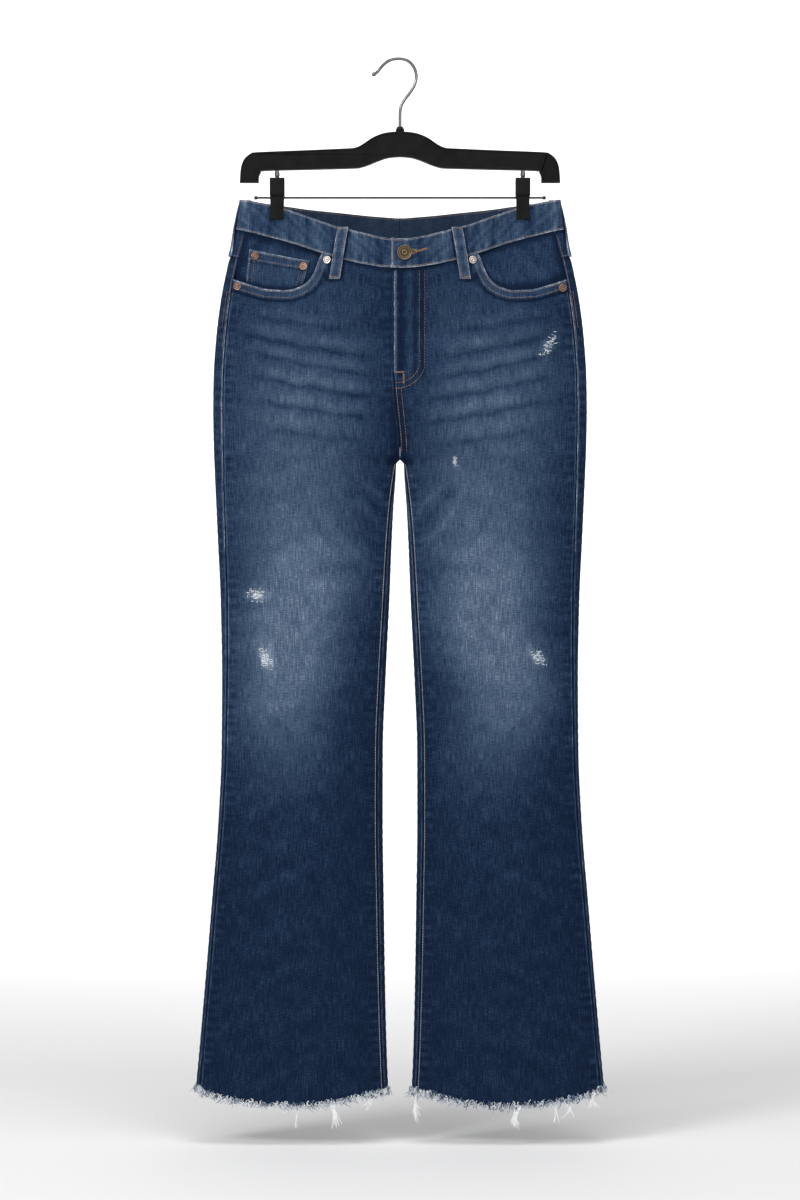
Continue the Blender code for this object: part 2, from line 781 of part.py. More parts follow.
def disc(name, half, x, z, lift, radius, high, sides, color, metallic):
    """A low round head seated on the cloth: a cylinder with its outer rim rounded."""
    middle = half.on_face(x, z, FRONT, lift + high / 2)
    base = half.on_face(x, z, FRONT, lift)
    bm = bmesh.new()
    bmesh.ops.create_cone(
        bm, cap_ends=True, segments=sides, radius1=radius * MM, radius2=radius * MM, depth=high * MM
    )
    rim = [edge for edge in bm.edges if all(vert.co.z > 0 for vert in edge.verts)]
    bmesh.ops.bevel(
        bm, geom=rim, offset=0.4 * high * MM, affect="EDGES", segments=2, profile=0.5, material=-1
    )
    turn = (middle - base).to_track_quat("Z", "Y").to_matrix()
    bmesh.ops.rotate(bm, verts=bm.verts[:], cent=(0, 0, 0), matrix=turn)
    bmesh.ops.translate(bm, verts=bm.verts[:], vec=middle)
    finish(name, bm, color, 0.35, metallic)


class Rivet(NamedTuple):
    """A rivet on the front: its side, its place, what it stands on and its colour."""

    name: str
    side: int
    x: float
    z: float
    lift: float
    color: tuple


RIVETS = (
    Rivet("rivet_inner_left", LEFT, 91.0, -254.0, 0.5, SILVER),
    Rivet("rivet_inner_right", RIGHT, 91.5, -254.0, 0.5, SILVER),
    Rivet("rivet_outer_left", LEFT, 204.4, -288.5, 0.5, COPPER),
    Rivet("rivet_outer_right", RIGHT, 204.4, -286.5, 0.5, COPPER),
    Rivet("rivet_coin_outer", RIGHT, 182.6, -247.8, 0.1, COPPER),
    Rivet("rivet_coin_inner", RIGHT, 121.6, -261.4, 0.0, COPPER),
)


def build_metal():
    for rivet in RIVETS:
        disc(
            rivet.name, HALVES[rivet.side], rivet.x, rivet.z, rivet.lift, RIVET_RADIUS, RIVET_HIGH, 12,
            rivet.color, 1.0,
        )
    lift = BAND_OUT + BAND_LAP + PATCH_LIFT
    disc("button", HALVES[LEFT], BUTTON_X, BUTTON_Z, lift, BUTTON_RADIUS, BUTTON_HIGH, 24, BRASS, 1.0)


def plate(bm, outline, half_depth):
    """An outline in X and Z made into a plate of a given half depth in Y."""
    verts = [bm.verts.new((x * MM, -half_depth * MM, z * MM)) for x, z in outline]
    face = bm.faces.new(verts)
    made = bmesh.ops.extrude_face_region(bm, geom=[face], use_keep_orig=True)
    moved = [item for item in made["geom"] if isinstance(item, bmesh.types.BMVert)]
    bmesh.ops.translate(bm, verts=moved, vec=(0, 2 * half_depth * MM, 0))


def build_hanger_body():
    right = [(point.x, point.z) for point in HANGER_EDGE]
    left = [(-x, z) for x, z in reversed(right[1:-1])]
    bm = bmesh.new()
    plate(bm, right + left, BODY_HALF_DEPTH)
    rims = [edge for edge in bm.edges if abs(edge.verts[0].co.y - edge.verts[1].co.y) < MM]
    bmesh.ops.bevel(
        bm, geom=rims, offset=BODY_BEVEL * MM, affect="EDGES", segments=2, profile=0.5, material=-1
    )
    finish("hanger_body", bm, BLACK, 0.45)


def rounded_route(points, steps):
    """Points on a smooth curve through a route, with a few steps between each pair."""
    route = [Vector((point.x, 0.0, point.z)) for point in points]
    padded = [route[0] * 2 - route[1], *route, route[-1] * 2 - route[-2]]
    smooth = []
    for before, start, end, after in zip(padded, padded[1:], padded[2:], padded[3:]):
        for step in range(steps):
            t = step / steps
            bend = (before * 2 - start * 5 + end * 4 - after) * t * t
            twist = (start * 3 - before - end * 3 + after) * t * t * t
            smooth.append((start * 2 + (end - before) * t + bend + twist) / 2)
    return [*smooth, route[-1]]


def build_hook():
    points = rounded_route(HOOK_ROUTE, HOOK_STEPS)
    curve = bpy.data.curves.new("hanger_hook", "CURVE")
    curve.dimensions = "3D"
    curve.bevel_depth = WIRE_RADIUS * MM
    curve.bevel_resolution = 2
    curve.use_fill_caps = True
    line = curve.splines.new("POLY")
    line.points.add(len(points) - 1)
    for knot, point in zip(line.points, points):
        knot.co = (*(point * MM), 1)
    curve.materials.append(material("hanger_hook", STEEL, 0.15, 1.0))
    bpy.context.scene.collection.objects.link(bpy.data.objects.new("hanger_hook", curve))


def rod(name, x, z, radius, length, axis, sides, color, metallic):
    bm = bmesh.new()
    bmesh.ops.create_cone(
        bm, cap_ends=True, segments=sides, radius1=radius * MM, radius2=radius * MM, depth=length * MM
    )
    turn = Vector(axis).to_track_quat("Z", "Y").to_matrix()
    bmesh.ops.rotate(bm, verts=bm.verts[:], cent=(0, 0, 0), matrix=turn)
    bmesh.ops.translate(bm, verts=bm.verts[:], vec=(x * MM, 0, z * MM))
    finish(name, bm, color, 0.25, metallic)


class JawTurn(NamedTuple):
    """A corner of a jaw's section, seen from the side."""

    y: float
    z: float


JAW = (
    JawTurn(0.15, CLIP_TOP), JawTurn(0.15, -170.5), JawTurn(1.6, -171.6), JawTurn(1.6, -176.4),
    JawTurn(3.2, -180.0), JawTurn(3.2, CLIP_BOTTOM), JawTurn(6.2, CLIP_BOTTOM), JawTurn(6.6, -172.0),
    JawTurn(8.2, CLIP_STEP), JawTurn(8.2, CLIP_TOP),
)


def build_jaw(side, face):
    bm = bmesh.new()
    middle = side * CLIP_X * MM
    verts = [bm.verts.new((middle, face * turn.y * MM, turn.z * MM)) for turn in JAW]
    section = bm.faces.new(verts)
    made = bmesh.ops.extrude_face_region(bm, geom=[section], use_keep_orig=True)
    far = [item for item in made["geom"] if isinstance(item, bmesh.types.BMVert)]
    for verts_of, way in ((verts, -1), (far, 1)):
        for vert in verts_of:
            wide = CLIP_WIDE if vert.co.z > (CLIP_STEP - 0.5) * MM else CLIP_NARROW
            vert.co.x = middle + way * wide * MM
    place = "front" if face == FRONT else "back"
    finish(f"clip_{place}_{SIDE_NAMES[side]}", bm, BLACK, 0.5)


def build_hanger():
    build_hanger_body()
    build_hook()
    collar_length = COLLAR_TOP - COLLAR_BOTTOM
    collar_middle = (COLLAR_TOP + COLLAR_BOTTOM) / 2
    rod("hanger_collar", 0, collar_middle, COLLAR_RADIUS, collar_length, (0, 0, 1), 24, BLACK, 0.0)
    rod("hanger_rod", 0, ROD_Z, ROD_RADIUS, 2 * ROD_HALF, (1, 0, 0), 10, STEEL, 1.0)
    for side in (LEFT, RIGHT):
        middle = (PIN_TOP + PIN_BOTTOM) / 2
        pin_name = f"clip_pin_{SIDE_NAMES[side]}"
        rod(pin_name, side * CLIP_X, middle, PIN_RADIUS, PIN_TOP - PIN_BOTTOM, (0, 0, 1), 14, STEEL, 1.0)
        for face in (FRONT, BACK):
            build_jaw(side, face)


def build_jeans():
    for side in (LEFT, RIGHT):
        build_front(side)
        build_back(side)
        build_yoke(side)
        build_waistband(side)
        build_facing(side)
        build_back_pocket(side)
        build_fray(side)
        side_loop(side)
        belt_loop(f"belt_loop_front_{SIDE_NAMES[side]}", HALVES[side], FRONT, FRONT_LOOP)
    belt_loop("belt_loop_back", HALVES[LEFT], BACK, BACK_LOOP)
    build_coin_pocket()
    build_strip(FLY_SHIELD, 4, 6, DENIM_DARK, 0.0)
    build_strip(ZIP_TAPE, 2, 6, BRASS, 0.6)
    build_strip(ZIP_SLIDER, 2, 2, BRASS, 1.0)
    build_metal()


def main():
    for thing in list(bpy.data.objects):
        bpy.data.objects.remove(thing)
    build_jeans()
    build_hanger()


main()
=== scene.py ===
"""High-rise flared jeans with raw frayed hems, hung by the waistband from a clip hanger.

Tables hold millimetres and become metres as the vertices are placed. The origin is the inner top of
the hanger's hook, +X is the wearer's left and the garment's front faces -Y. Each half of the garment is
a ring of cloth that changes with height, and every cloth piece, stitch and stud takes its place from it.
"""

import logging
import math
from dataclasses import dataclass, field
from enum import Enum, IntEnum
from typing import Callable, Sequence

import bmesh
import bpy
import numpy as np
from mathutils import Matrix, Vector


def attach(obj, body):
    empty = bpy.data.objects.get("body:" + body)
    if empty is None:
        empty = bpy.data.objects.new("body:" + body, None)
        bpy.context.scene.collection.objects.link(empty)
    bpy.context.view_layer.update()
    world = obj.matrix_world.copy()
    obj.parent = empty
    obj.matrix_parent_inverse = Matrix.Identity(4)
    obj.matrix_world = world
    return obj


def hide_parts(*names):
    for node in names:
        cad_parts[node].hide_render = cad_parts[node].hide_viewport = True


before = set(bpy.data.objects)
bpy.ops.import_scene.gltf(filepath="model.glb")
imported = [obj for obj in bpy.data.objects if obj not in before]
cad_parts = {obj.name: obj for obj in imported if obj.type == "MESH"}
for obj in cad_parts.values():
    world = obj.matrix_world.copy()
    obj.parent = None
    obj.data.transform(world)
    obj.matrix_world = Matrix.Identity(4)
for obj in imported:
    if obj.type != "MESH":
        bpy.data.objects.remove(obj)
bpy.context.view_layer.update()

LOG = logging.getLogger("jeans")
MM = 0.001

Array = np.ndarray
Row = tuple[float, float]
Color = tuple[float, float, float]


class Side(IntEnum):
    """A half of the garment, by the sign of X."""

    LEFT = 1
    RIGHT = -1

    @property
    def word(self) -> str:
        """The side's name in piece and node names."""
        return self.name.lower()


class Face(IntEnum):
    """A face of the garment, by the sign of Y."""

    FRONT = -1
    BACK = 1


class Slot(Enum):
    """Names of material slots, which the pieces are handed but which nothing reads."""

    DENIM = "denim"
    FRAY = "frayed_threads"
    BRASS = "antique_brass"
    COPPER = "copper"
    SILVER = "silver_metal"
    CHROME = "chrome_wire"
    PLASTIC = "black_plastic"


class Curve:
    """A smooth curve through a table's rows that never overshoots them."""

    def __init__(self, *rows: Row) -> None:
        """Sorts the rows and works out the slope at each.

        Args:
            rows: pairs of a place and its value.
        """
        table = np.array(sorted(rows), float)
        self.at, self.value = table[:, 0], table[:, 1]
        steps = np.diff(self.value) / np.diff(self.at)
        before, after = steps[:-1], steps[1:]
        same_way = before * after > 0
        joint = np.where(same_way, 2 * before * after / np.where(same_way, before + after, 1.0), 0.0)
        self.slope = np.concatenate(([steps[0]], joint, [steps[-1]]))

    def __call__(self, at: Array | float) -> Array:
        """Values at some places, held level past the ends.

        Args:
            at: the places.

        Returns:
            The curve's value at each.
        """
        at = np.clip(np.asarray(at, float), self.at[0], self.at[-1])
        i = np.clip(np.searchsorted(self.at, at, side="right") - 1, 0, len(self.at) - 2)
        span = self.at[i + 1] - self.at[i]
        t = (at - self.at[i]) / span
        return (
            self.value[i] * (1 + 2 * t) * (1 - t) ** 2
            + self.value[i + 1] * t * t * (3 - 2 * t)
            + self.slope[i] * span * t * (1 - t) ** 2
            - self.slope[i + 1] * span * t * t * (1 - t)
        )


# The garment's outline and depth at each height: z, outer fold, inner fold, front depth, back depth
SECTIONS = (
    (-170, 201.4, -201.4, 29, 27), (-214, 206.3, -206.3, 29, 28), (-257, 217.0, -217.0, 28, 30),
    (-302, 226.0, -226.0, 27, 33), (-353, 232.3, -220.0, 26, 35), (-403, 235.4, -184.0, 25, 35),
    (-441, 235.9, -132.0, 25, 33), (-470, 235.5, -78.0, 24, 31), (-490, 235.0, -32.0, 23, 28),
    (-500, 234.7, -9.0, 23, 26), (-505, 234.5, 0.0, 22, 25), (-510, 234.2, 4.2, 22, 25),
    (-530, 233.4, 5.7, 21, 24), (-560, 232.0, 8.0, 20, 23), (-605, 229.9, 10.3, 19, 21),
    (-680, 226.4, 13.3, 18, 19), (-780, 224.6, 18.2, 16, 17), (-870, 225.2, 21.6, 16, 16),
    (-960, 229.2, 21.8, 16, 17), (-1060, 237.3, 20.4, 17, 18), (-1160, 245.5, 18.9, 17, 19),
    (-1260, 254.2, 16.4, 18, 20), (-1330, 261.0, 13.0, 18, 21),
)
OUTER = Curve(*((row[0], row[1]) for row in SECTIONS))
INNER = Curve(*((row[0], row[2]) for row in SECTIONS))
SWELL = {
    Face.FRONT: Curve(*((row[0], row[3]) for row in SECTIONS)),
    Face.BACK: Curve(*((row[0], row[4]) for row in SECTIONS)),
}

# Half depth of the waist across its width, open in the middle and closed where the clips grip
WAIST_DEPTH = Curve(
    (0, 30.0), (40, 28.6), (80, 21.8), (112, 11.0), (131, 4.4), (140, 2.1), (170, 2.1), (179, 4.2),
    (191, 7.2), (215, 7.8),
)
PINCH_FULL, PINCH_GONE = -200.0, -345.0
EDGE_ROUND, WAIST_SQUARE = 3.0, 21.0

# Heights of the lines that run across the garment, by distance from the middle
BAND_TOP = {
    Face.FRONT: Curve(
        (0, -228.2), (12, -227.6), (61, -216.8), (83, -210.8), (110, -200.2), (145, -187.6), (165, -182.0),
        (201, -176.0),
    ),
    Face.BACK: Curve(
        (0, -196.5), (45, -193.0), (80, -190.0), (117, -187.6), (145, -184.4), (165, -181.4), (201, -176.0),
    ),
}
WAIST_SEAM = {
    Face.FRONT: Curve(
        (0, -265.0), (12, -264.5), (40, -261.0), (68, -254.8), (92, -247.6), (140, -230.6), (175, -221.2),
        (206, -214.0),
    ),
    Face.BACK: Curve(
        (0, -234.0), (45, -230.8), (80, -228.0), (117, -225.4), (145, -222.4), (175, -218.4), (206, -214.0),
    ),
}
YOKE_LINE = Curve((0, -296.0), (60, -284.0), (120, -269.0), (180, -254.0), (218, -248.0))
SCOOP_START = 97.5
SCOOP_LINE = Curve(
    (SCOOP_START, -246.0), (101.0, -252.0), (106.0, -265.5), (114.0, -279.5), (126.0, -288.0),
    (143.0, -292.0), (164.0, -291.0), (188.0, -285.0), (210.0, -277.5),
)
HEM_LINE = Curve(
    (12, -1299.0), (40, -1303.5), (65, -1309.0), (95, -1314.5), (130, -1317.0), (165, -1315.5),
    (205, -1311.0), (240, -1303.0), (261, -1293.0),
)

# How far inside the silhouette each leg seam lies on the front
OUTSEAM = Curve(
    (-214, 12), (-403, 12.5), (-505, 12), (-540, 11), (-650, 9), (-760, 7), (-960, 5), (-1330, 5),
)
INSEAM = Curve((-505, 0), (-540, 3.0), (-650, 6.2), (-760, 7.2), (-960, 7.4), (-1330, 6.0))

# Cloth and seams
SEAM_GAP = 0.3
DENIM = 1.2
BAND_OUT, BAND_IN = 0.8, -1.8
BAND_LAP = 1.45
BAND_END = {Side.LEFT: 10.7, Side.RIGHT: 22.0}
CROTCH_Z = -505.0
FLY_EDGE, FLY_BOTTOM = 7.6, -395.0
HEM_FADE = (-1130.0, -1305.0)
HEM_GUESS = -1310.0
SETTLE_ROUNDS = 4
FAR = 99.0

# A front belt loop's top and bottom at its middle, and half the width of a loop
FRONT_LOOP = ((71.0, -213.2), (82.0, -278.5))
LOOP_HALF = 6.7


def mix(low: Array | float, high: Array | float, share: Array | float) -> Array | float:
    """Straight mix of two values."""
    return low + (high - low) * share


def ease(start: float, end: float, at: Array | float) -> Array:
    """Smooth step from 0 at start to 1 at end."""
    t = np.clip((np.asarray(at, float) - start) / (end - start), 0.0, 1.0)
    return t * t * (3 - 2 * t)


def bump(middle: Array | float, width: Array | float, at: Array | float) -> Array:
    """Bell curve of height 1."""
    return np.exp(-(((np.asarray(at, float) - middle) / width) ** 2))


def wobble(at: Array | float, *pitches: float, phase: float = 0.0) -> Array:
    """Uneven wave from -1 to 1: the mean of sines of several pitches."""
    waves = [np.sin(math.tau * np.asarray(at, float) / p + phase * (i + 1)) for i, p in enumerate(pitches)]
    return sum(waves) / len(waves)


@dataclass(frozen=True)
class Crease:
    """A soft trough or ridge: its panel, where it is, how wide and long, how it leans, and how high."""

    side: Side
    face: Face
    x: float
    z: float
    width: float
    length: float
    lean: float
    height: float

    def lift(self, x: Array, z: Array) -> Array:
        """Height of the crease at places on its panel."""
        down = (z - self.z) / self.length
        across = (x - self.x - self.lean * (z - self.z)) / self.width
        return self.height * np.exp(-down * down - across * across)


def creases(table: dict[tuple[Side, Face], tuple[tuple[float, ...], ...]]) -> tuple[Crease, ...]:
    """Creases from rows of place, width, length, lean and height, listed by side and face."""
    return tuple(Crease(*panel, *row) for panel, rows in table.items() for row in rows)


# The largest folds, which the solids have too
FOLDS = creases({
    (Side.LEFT, Face.FRONT): (
        (60, -565, 20, 60, 0.35, -2.4), (95, -640, 26, 95, 0.12, 1.8), (150, -880, 34, 150, -0.04, 1.6),
        (100, -1230, 22, 120, -0.08, 2.4), (178, -1250, 24, 140, -0.14, -2.2),
    ),
    (Side.RIGHT, Face.FRONT): (
        (66, -580, 22, 66, 0.38, -2.2), (120, -610, 30, 100, 0.08, 1.9), (92, -900, 30, 150, 0.05, 1.5),
        (84, -1240, 22, 125, -0.05, -2.0), (168, -1225, 26, 130, -0.12, 2.4),
    ),
    (Side.LEFT, Face.BACK): (
        (62, -560, 22, 62, 0.4, -2.6), (128, -800, 34, 130, 0.05, -1.8),
        (120, -1240, 26, 130, -0.1, 2.6),
    ),
    (Side.RIGHT, Face.BACK): (
        (70, -548, 24, 58, 0.36, -2.4), (118, -770, 32, 120, -0.04, -2.0),
        (150, -1235, 28, 140, -0.1, -2.2),
    ),
})

# Finer creases of this scene alone, the drag lines that leave the crotch and the waist
FINE_CREASES = creases({
    (Side.RIGHT, Face.FRONT): (
        (30, -546, 5.5, 17, 1.15, 0.9), (36, -574, 6.0, 22, 0.95, 0.8), (52, -626, 7.0, 28, 0.85, 0.7),
        (44, -602, 5.0, 20, 0.9, -0.6), (33, -560, 4.5, 18, 1.05, -0.7),
    ),
    (Side.LEFT, Face.FRONT): (
        (36, -556, 5.5, 26, 0.85, 0.9), (47, -592, 6.5, 30, 0.8, 0.8), (40, -574, 4.5, 24, 0.85, -0.7),
        (60, -628, 6.0, 24, 0.7, -0.5),
    ),
    (Side.LEFT, Face.BACK): (
        (34, -552, 6.0, 26, 1.0, 1.0), (50, -596, 7.0, 30, 0.9, 0.8), (58, -455, 7.0, 34, 1.3, -0.8),
        (120, -690, 12, 20, -1.6, 0.9), (104, -724, 10, 16, -1.9, 0.8),
    ),
    (Side.RIGHT, Face.BACK): (
        (30, -544, 5.5, 22, 1.1, 0.9), (46, -584, 7.0, 34, 0.9, 0.9), (66, -470, 8.0, 30, 1.2, -0.7),
        (128, -704, 13, 18, -1.5, 1.0), (96, -676, 11, 17, 1.7, 0.8),
    ),
})


@dataclass(frozen=True)
class Whisker:
    """A pale line that sitting wears across the hip: its height at the fly, its rise and its strength."""

    z: float
    rise: float
    width: float
    strength: float
    start: float
    end: float


WHISKERS = {
    Side.RIGHT: (
        Whisker(-338, 30, 5.5, 0.5, 60, 205), Whisker(-366, 36, 7.0, 0.95, 30, 210),
        Whisker(-391, 38, 5.5, 0.8, 24, 200), Whisker(-417, 36, 6.5, 1.0, 20, 196),
        Whisker(-444, 33, 6.5, 0.85, 26, 190), Whisker(-470, 28, 8.5, 0.65, 34, 180),
    ),
    Side.LEFT: (
        Whisker(-340, 33, 6.0, 0.5, 55, 205), Whisker(-368, 38, 7.0, 0.8, 44, 205),
        Whisker(-396, 42, 6.0, 0.9, 40, 200), Whisker(-421, 40, 6.5, 0.85, 26, 196),
        Whisker(-447, 38, 7.5, 0.95, 22, 188), Whisker(-474, 30, 8.5, 0.7, 30, 176),
    ),
}
WHISKER_REACH = 215.0


def whiskers(side: Side, x: Array, z: Array) -> Array:
    """How strongly the hip's worn lines show at places on a front, from -1 between them to 1 on them.

    Args:
        side: which half it is on.
        x: distances from the middle.
        z: heights.

    Returns:
        The strength at each place.
    """
    shown = np.zeros_like(x)
    for line in WHISKERS[side]:
        middle = line.z + line.rise * (np.maximum(x, 0) / WHISKER_REACH) ** 1.6
        middle = middle + 1.6 * wobble(x, 61, 37, phase=line.z)
        ends = ease(line.start, line.start + 26, x) * (1 - ease(line.end - 34, line.end, x))
        uneven = 0.75 + 0.25 * wobble(x, 83, 47, phase=line.z * 0.7)
        # Each line is a pale band with a narrow dip below it, its crease's trough, which the fronts darken
        # as painted shade.
        wave = bump(middle, line.width, z) - 0.9 * bump(middle - 1.7 * line.width, 0.5 * line.width, z)
        shown += line.strength * uneven * ends * wave
    return shown


class Half:
    """The ring of cloth of one half; x counts outwards from the middle and is mirrored for the right."""

    def __init__(self, side: Side) -> None:
        """Keeps the side and its folds."""
        self.side = side
        self.folds = {face: [c for c in FOLDS if c.side == side and c.face == face] for face in Face}
        self.fine = {face: [c for c in FINE_CREASES if c.side == side and c.face == face] for face in Face}

    def spread(self, z: Array) -> tuple[Array, Array]:
        """Middle and half width of the ring at some heights."""
        outer, inner = OUTER(z), INNER(z)
        return (outer + inner) / 2, (outer - inner) / 2

    def swell(self, x: Array, z: Array, face: Face) -> Array:
        """Depth of a face before its edges round off."""
        grip = ease(PINCH_GONE, PINCH_FULL, z)
        soft = SWELL[face](z) + sum(fold.lift(x, z) for fold in self.folds[face])
        return mix(soft, WAIST_DEPTH(x), grip)

    def roundness(self, z: Array) -> Array:
        """Power that squares the ring's ends where the waist is gripped."""
        return EDGE_ROUND + WAIST_SQUARE * ease(PINCH_GONE, PINCH_FULL, z) ** 2

    def level(self, x: Array, y: Array, z: Array) -> Array:
        """Below zero inside the cloth's outer face, above it outside.

        Args:
            x: distances from the middle.
            y: depths.
            z: heights.

        Returns:
            The level at each place.
        """
        middle, half = self.spread(z)
        across = np.abs(np.abs(x) - middle) / half
        deep = np.where(
            y < 0, self.swell(np.abs(x), z, Face.FRONT), self.swell(np.abs(x), z, Face.BACK)
        )
        return across ** self.roundness(z) + (y / deep) ** 2 - 1

    def depth(self, x: Array, z: Array, face: Face) -> Array:
        """Y of the outer face at places on the front or back."""
        middle, half = self.spread(z)
        across = np.minimum(np.abs(np.abs(x) - middle) / half, 1.0)
        return face * self.swell(np.abs(x), z, face) * np.sqrt(1 - across ** self.roundness(z))

    def outward(self, x: Array, y: Array, z: Array) -> Array:
        """Directions straight out of the cloth, one row for each place.

        Args:
            x: distances from the middle.
            y: depths.
            z: heights.

        Returns:
            Vectors of length 1.
        """
        step = 0.02
        slope = np.stack(
            (
                self.level(x + step, y, z) - self.level(x - step, y, z),
                self.level(x, y + step, z) - self.level(x, y - step, z),
                self.level(x, y, z + step) - self.level(x, y, z - step),
            ),
            axis=-1,
        )
        return slope / np.linalg.norm(slope, axis=-1, keepdims=True)

    def placed(self, x: Array, y: Array, z: Array, lift: Array | float) -> Array:
        """Points moved out of the cloth, in metres and on the right side."""
        point = np.stack(np.broadcast_arrays(x, y, z), axis=-1).astype(float)
        point += self.outward(point[..., 0], point[..., 1], point[..., 2]) * np.asarray(lift)[..., None]
        return point * (self.side * MM, MM, MM)

    def on_face(self, x: Array, z: Array, face: Face, lift: Array | float) -> Array:
        """Points on the front or back, moved out by a lift."""
        x, z = np.broadcast_arrays(np.asarray(x, float), np.asarray(z, float))
        return self.placed(x, self.depth(x, z, face), z, lift)

    def around(self, turn: Array, z: Array) -> tuple[Array, Array, Array]:
        """X, Y and whether it is the back, at angles round the ring: 0 inner fold, pi outer fold.

        Args:
            turn: angles round the ring.
            z: heights.

        Returns:
            The X, the Y and the flag of each place.
        """
        middle, half = self.spread(z)
        x = middle - half * np.cos(turn)
        behind = np.sin(turn) < 0
        y = np.where(behind, self.depth(x, z, Face.BACK), self.depth(x, z, Face.FRONT))
        return x, y, behind

    def turn_at(self, x: Array, z: Array) -> Array:
        """Angle on the front of places at x; its mirror past pi is the same x on the back."""
        middle, half = self.spread(z)
        return np.arccos(np.clip((middle - x) / half, -1.0, 1.0))

    def outseam_turn(self, z: Array) -> Array:
        """Angle of the outseam, which lies on the front."""
        return self.turn_at(OUTER(z) - OUTSEAM(z), z)

    def inner_turn(self, z: Array, face: Face) -> Array:
        """Angle where a panel ends towards the middle: the rise above the crotch, the inseam below.

        Args:
            z: heights.
            face: the front or the back.

        Returns:
            The angle at each height.
        """
        fly = -self.side * FLY_EDGE * ease(CROTCH_Z + 8, FLY_BOTTOM, z)
        reach = fly if face == Face.FRONT else np.zeros_like(z)
        rise = self.turn_at(np.maximum(reach, INNER(z)), z)
        inseam = self.turn_at(INNER(z) + INSEAM(z), z)
        above = z >= CROTCH_Z
        if face == Face.FRONT:
            return np.where(above, rise, inseam)
        return np.where(above, math.tau - rise, math.tau + inseam)


HALVES = {side: Half(side) for side in Side}


@dataclass
class Places:
    """Points of a cloth piece on its panel, in millimetres, with what the finish reads there.

    Args:
        half: the half that they lie on.
        turn: angle round the ring.
        z: height.
        lift: how far each is moved out of the cloth.
        wash: how far the indigo is washed out, from 0 to 1; on the fronts it also carries painted light and
            shade of the creases.
        wear: pale worn ridges and edges, from 0 to 1.
        shade: painted shade, darkening in dips, under edges and round raised parts, from 0 to 1.
    """

    half: Half
    turn: Array
    z: Array
    lift: Array
    wash: Array
    wear: Array
    shade: Array

    @classmethod
    def flat(cls, half: Half, turn: Array, z: Array, wash: float = 0.25) -> "Places":
        """Places with nothing raised or worn yet."""
        zero = np.zeros_like(z)
        return cls(half, turn, z, zero, zero + wash, zero.copy(), zero.copy())

    def add(self, **more: Array | float) -> None:
        """Adds to the lift, or to the wash, wear or shade, which stay between 0 and 1."""
        for name, values in more.items():
            total = getattr(self, name) + values
            setattr(self, name, total if name == "lift" else np.clip(total, 0, 1))

    def points(self, lower: float = 0.0) -> Array:
        """World points in metres, sunk into the cloth by a depth in millimetres."""
        x, y, _behind = self.half.around(self.turn, self.z)
        return self.half.placed(x, y, self.z, self.lift - lower)


def face_values(half: Half, turn: Array, z: Array, rule: Callable[[Face, Array, Array], Array]) -> Array:
    """Reads a rule for the front on the front and for the back on the back.

    Args:
        half: the half of the garment.
        turn: angles round the ring.
        z: heights.
        rule: gives values for a face, distances from the middle and heights.

    Returns:
        The values at each place.
    """
    x, _y, behind = half.around(turn, z)
    return np.where(behind, rule(Face.BACK, x, z), rule(Face.FRONT, x, z))


LEG_FADE = {
    Side.LEFT: Curve(
        (-330, 112), (-455, 117), (-560, 105), (-690, 110), (-811, 129), (-930, 112), (-1300, 125),
    ),
    Side.RIGHT: Curve(
        (-330, 122), (-480, 130), (-585, 127), (-720, 134), (-840, 149), (-960, 145), (-1300, 140),
    ),
}
FADE_STRENGTH = {
    Face.FRONT: Curve(
        (-215, 0.28), (-290, 0.28), (-380, 0.52), (-450, 0.62), (-560, 0.72), (-690, 0.97), (-750, 0.97),
        (-810, 0.8), (-870, 0.54), (-920, 0.28), (-980, 0.12), (-1100, 0.07), (-1330, 0.06),
    ),
    Face.BACK: Curve(
        (-215, 0.3), (-330, 0.62), (-420, 0.82), (-520, 0.66), (-640, 0.5), (-760, 0.52),
        (-880, 0.36), (-1000, 0.2), (-1330, 0.12),
    ),
}
FADE_WIDTH = Curve((-215, 98), (-400, 98), (-520, 90), (-700, 76), (-880, 66), (-1000, 66), (-1330, 80))


def wash_at(half: Half, face: Face, x: Array, z: Array) -> Array:
    """How far the indigo is washed out: down the middle of each leg, least along the seams and low down; on
    the fronts it also carries painted light and shade of the hip lines and fine creases.

    Args:
        half: the half of the garment.
        face: the front or the back.
        x: distances from the middle.
        z: heights.

    Returns:
        The wash at each place, from 0 to 1.
    """
    middle = LEG_FADE[half.side](z) + 5 * wobble(z, 210, 130, phase=float(half.side))
    across = (x - middle) / FADE_WIDTH(z)
    body = np.exp(-np.abs(across) ** 2.6)
    fade = FADE_STRENGTH[face](z) * body + 0.1
    fade += 0.05 * wobble(z + 0.4 * x, 95, 57, 31, phase=2.0 + half.side) * body
    if face == Face.FRONT:
        # The worn hip lines are paler, and the dip below each is darker as painted shade of its crease.
        fade += 0.22 * whiskers(half.side, x, z) * ease(-520, -470, z)
        # Painted light and shade: each fine crease is paler on its ridge and darker in its trough.
        for crease in half.fine[face]:
            fade = fade + 0.22 * crease.lift(x, z)
    return np.clip(fade, 0.0, 1.0)


def relief_at(half: Half, face: Face, x: Array, z: Array) -> Array:
    """Height of the fine creases, the hip's worn lines and the cloth's slight unevenness.

    Args:
        half: the half of the garment.
        face: the front or the back.
        x: distances from the middle.
        z: heights.

    Returns:
        The height at each place.
    """
    lift = sum(crease.lift(x, z) for crease in half.fine[face]) + np.zeros_like(x)
    if face == Face.FRONT:
        lift = lift + 0.32 * whiskers(half.side, x, z) * ease(-520, -470, z)
    side_phase = 1.3 * half.side + 0.7 * face
    lift = lift + 0.35 * wobble(x + 0.3 * z, 71, 43, phase=side_phase) * wobble(z, 160, 97, phase=side_phase)
    return lift * ease(10, 34, OUTER(z) - x) * ease(8, 30, x - np.maximum(INNER(z), 0))


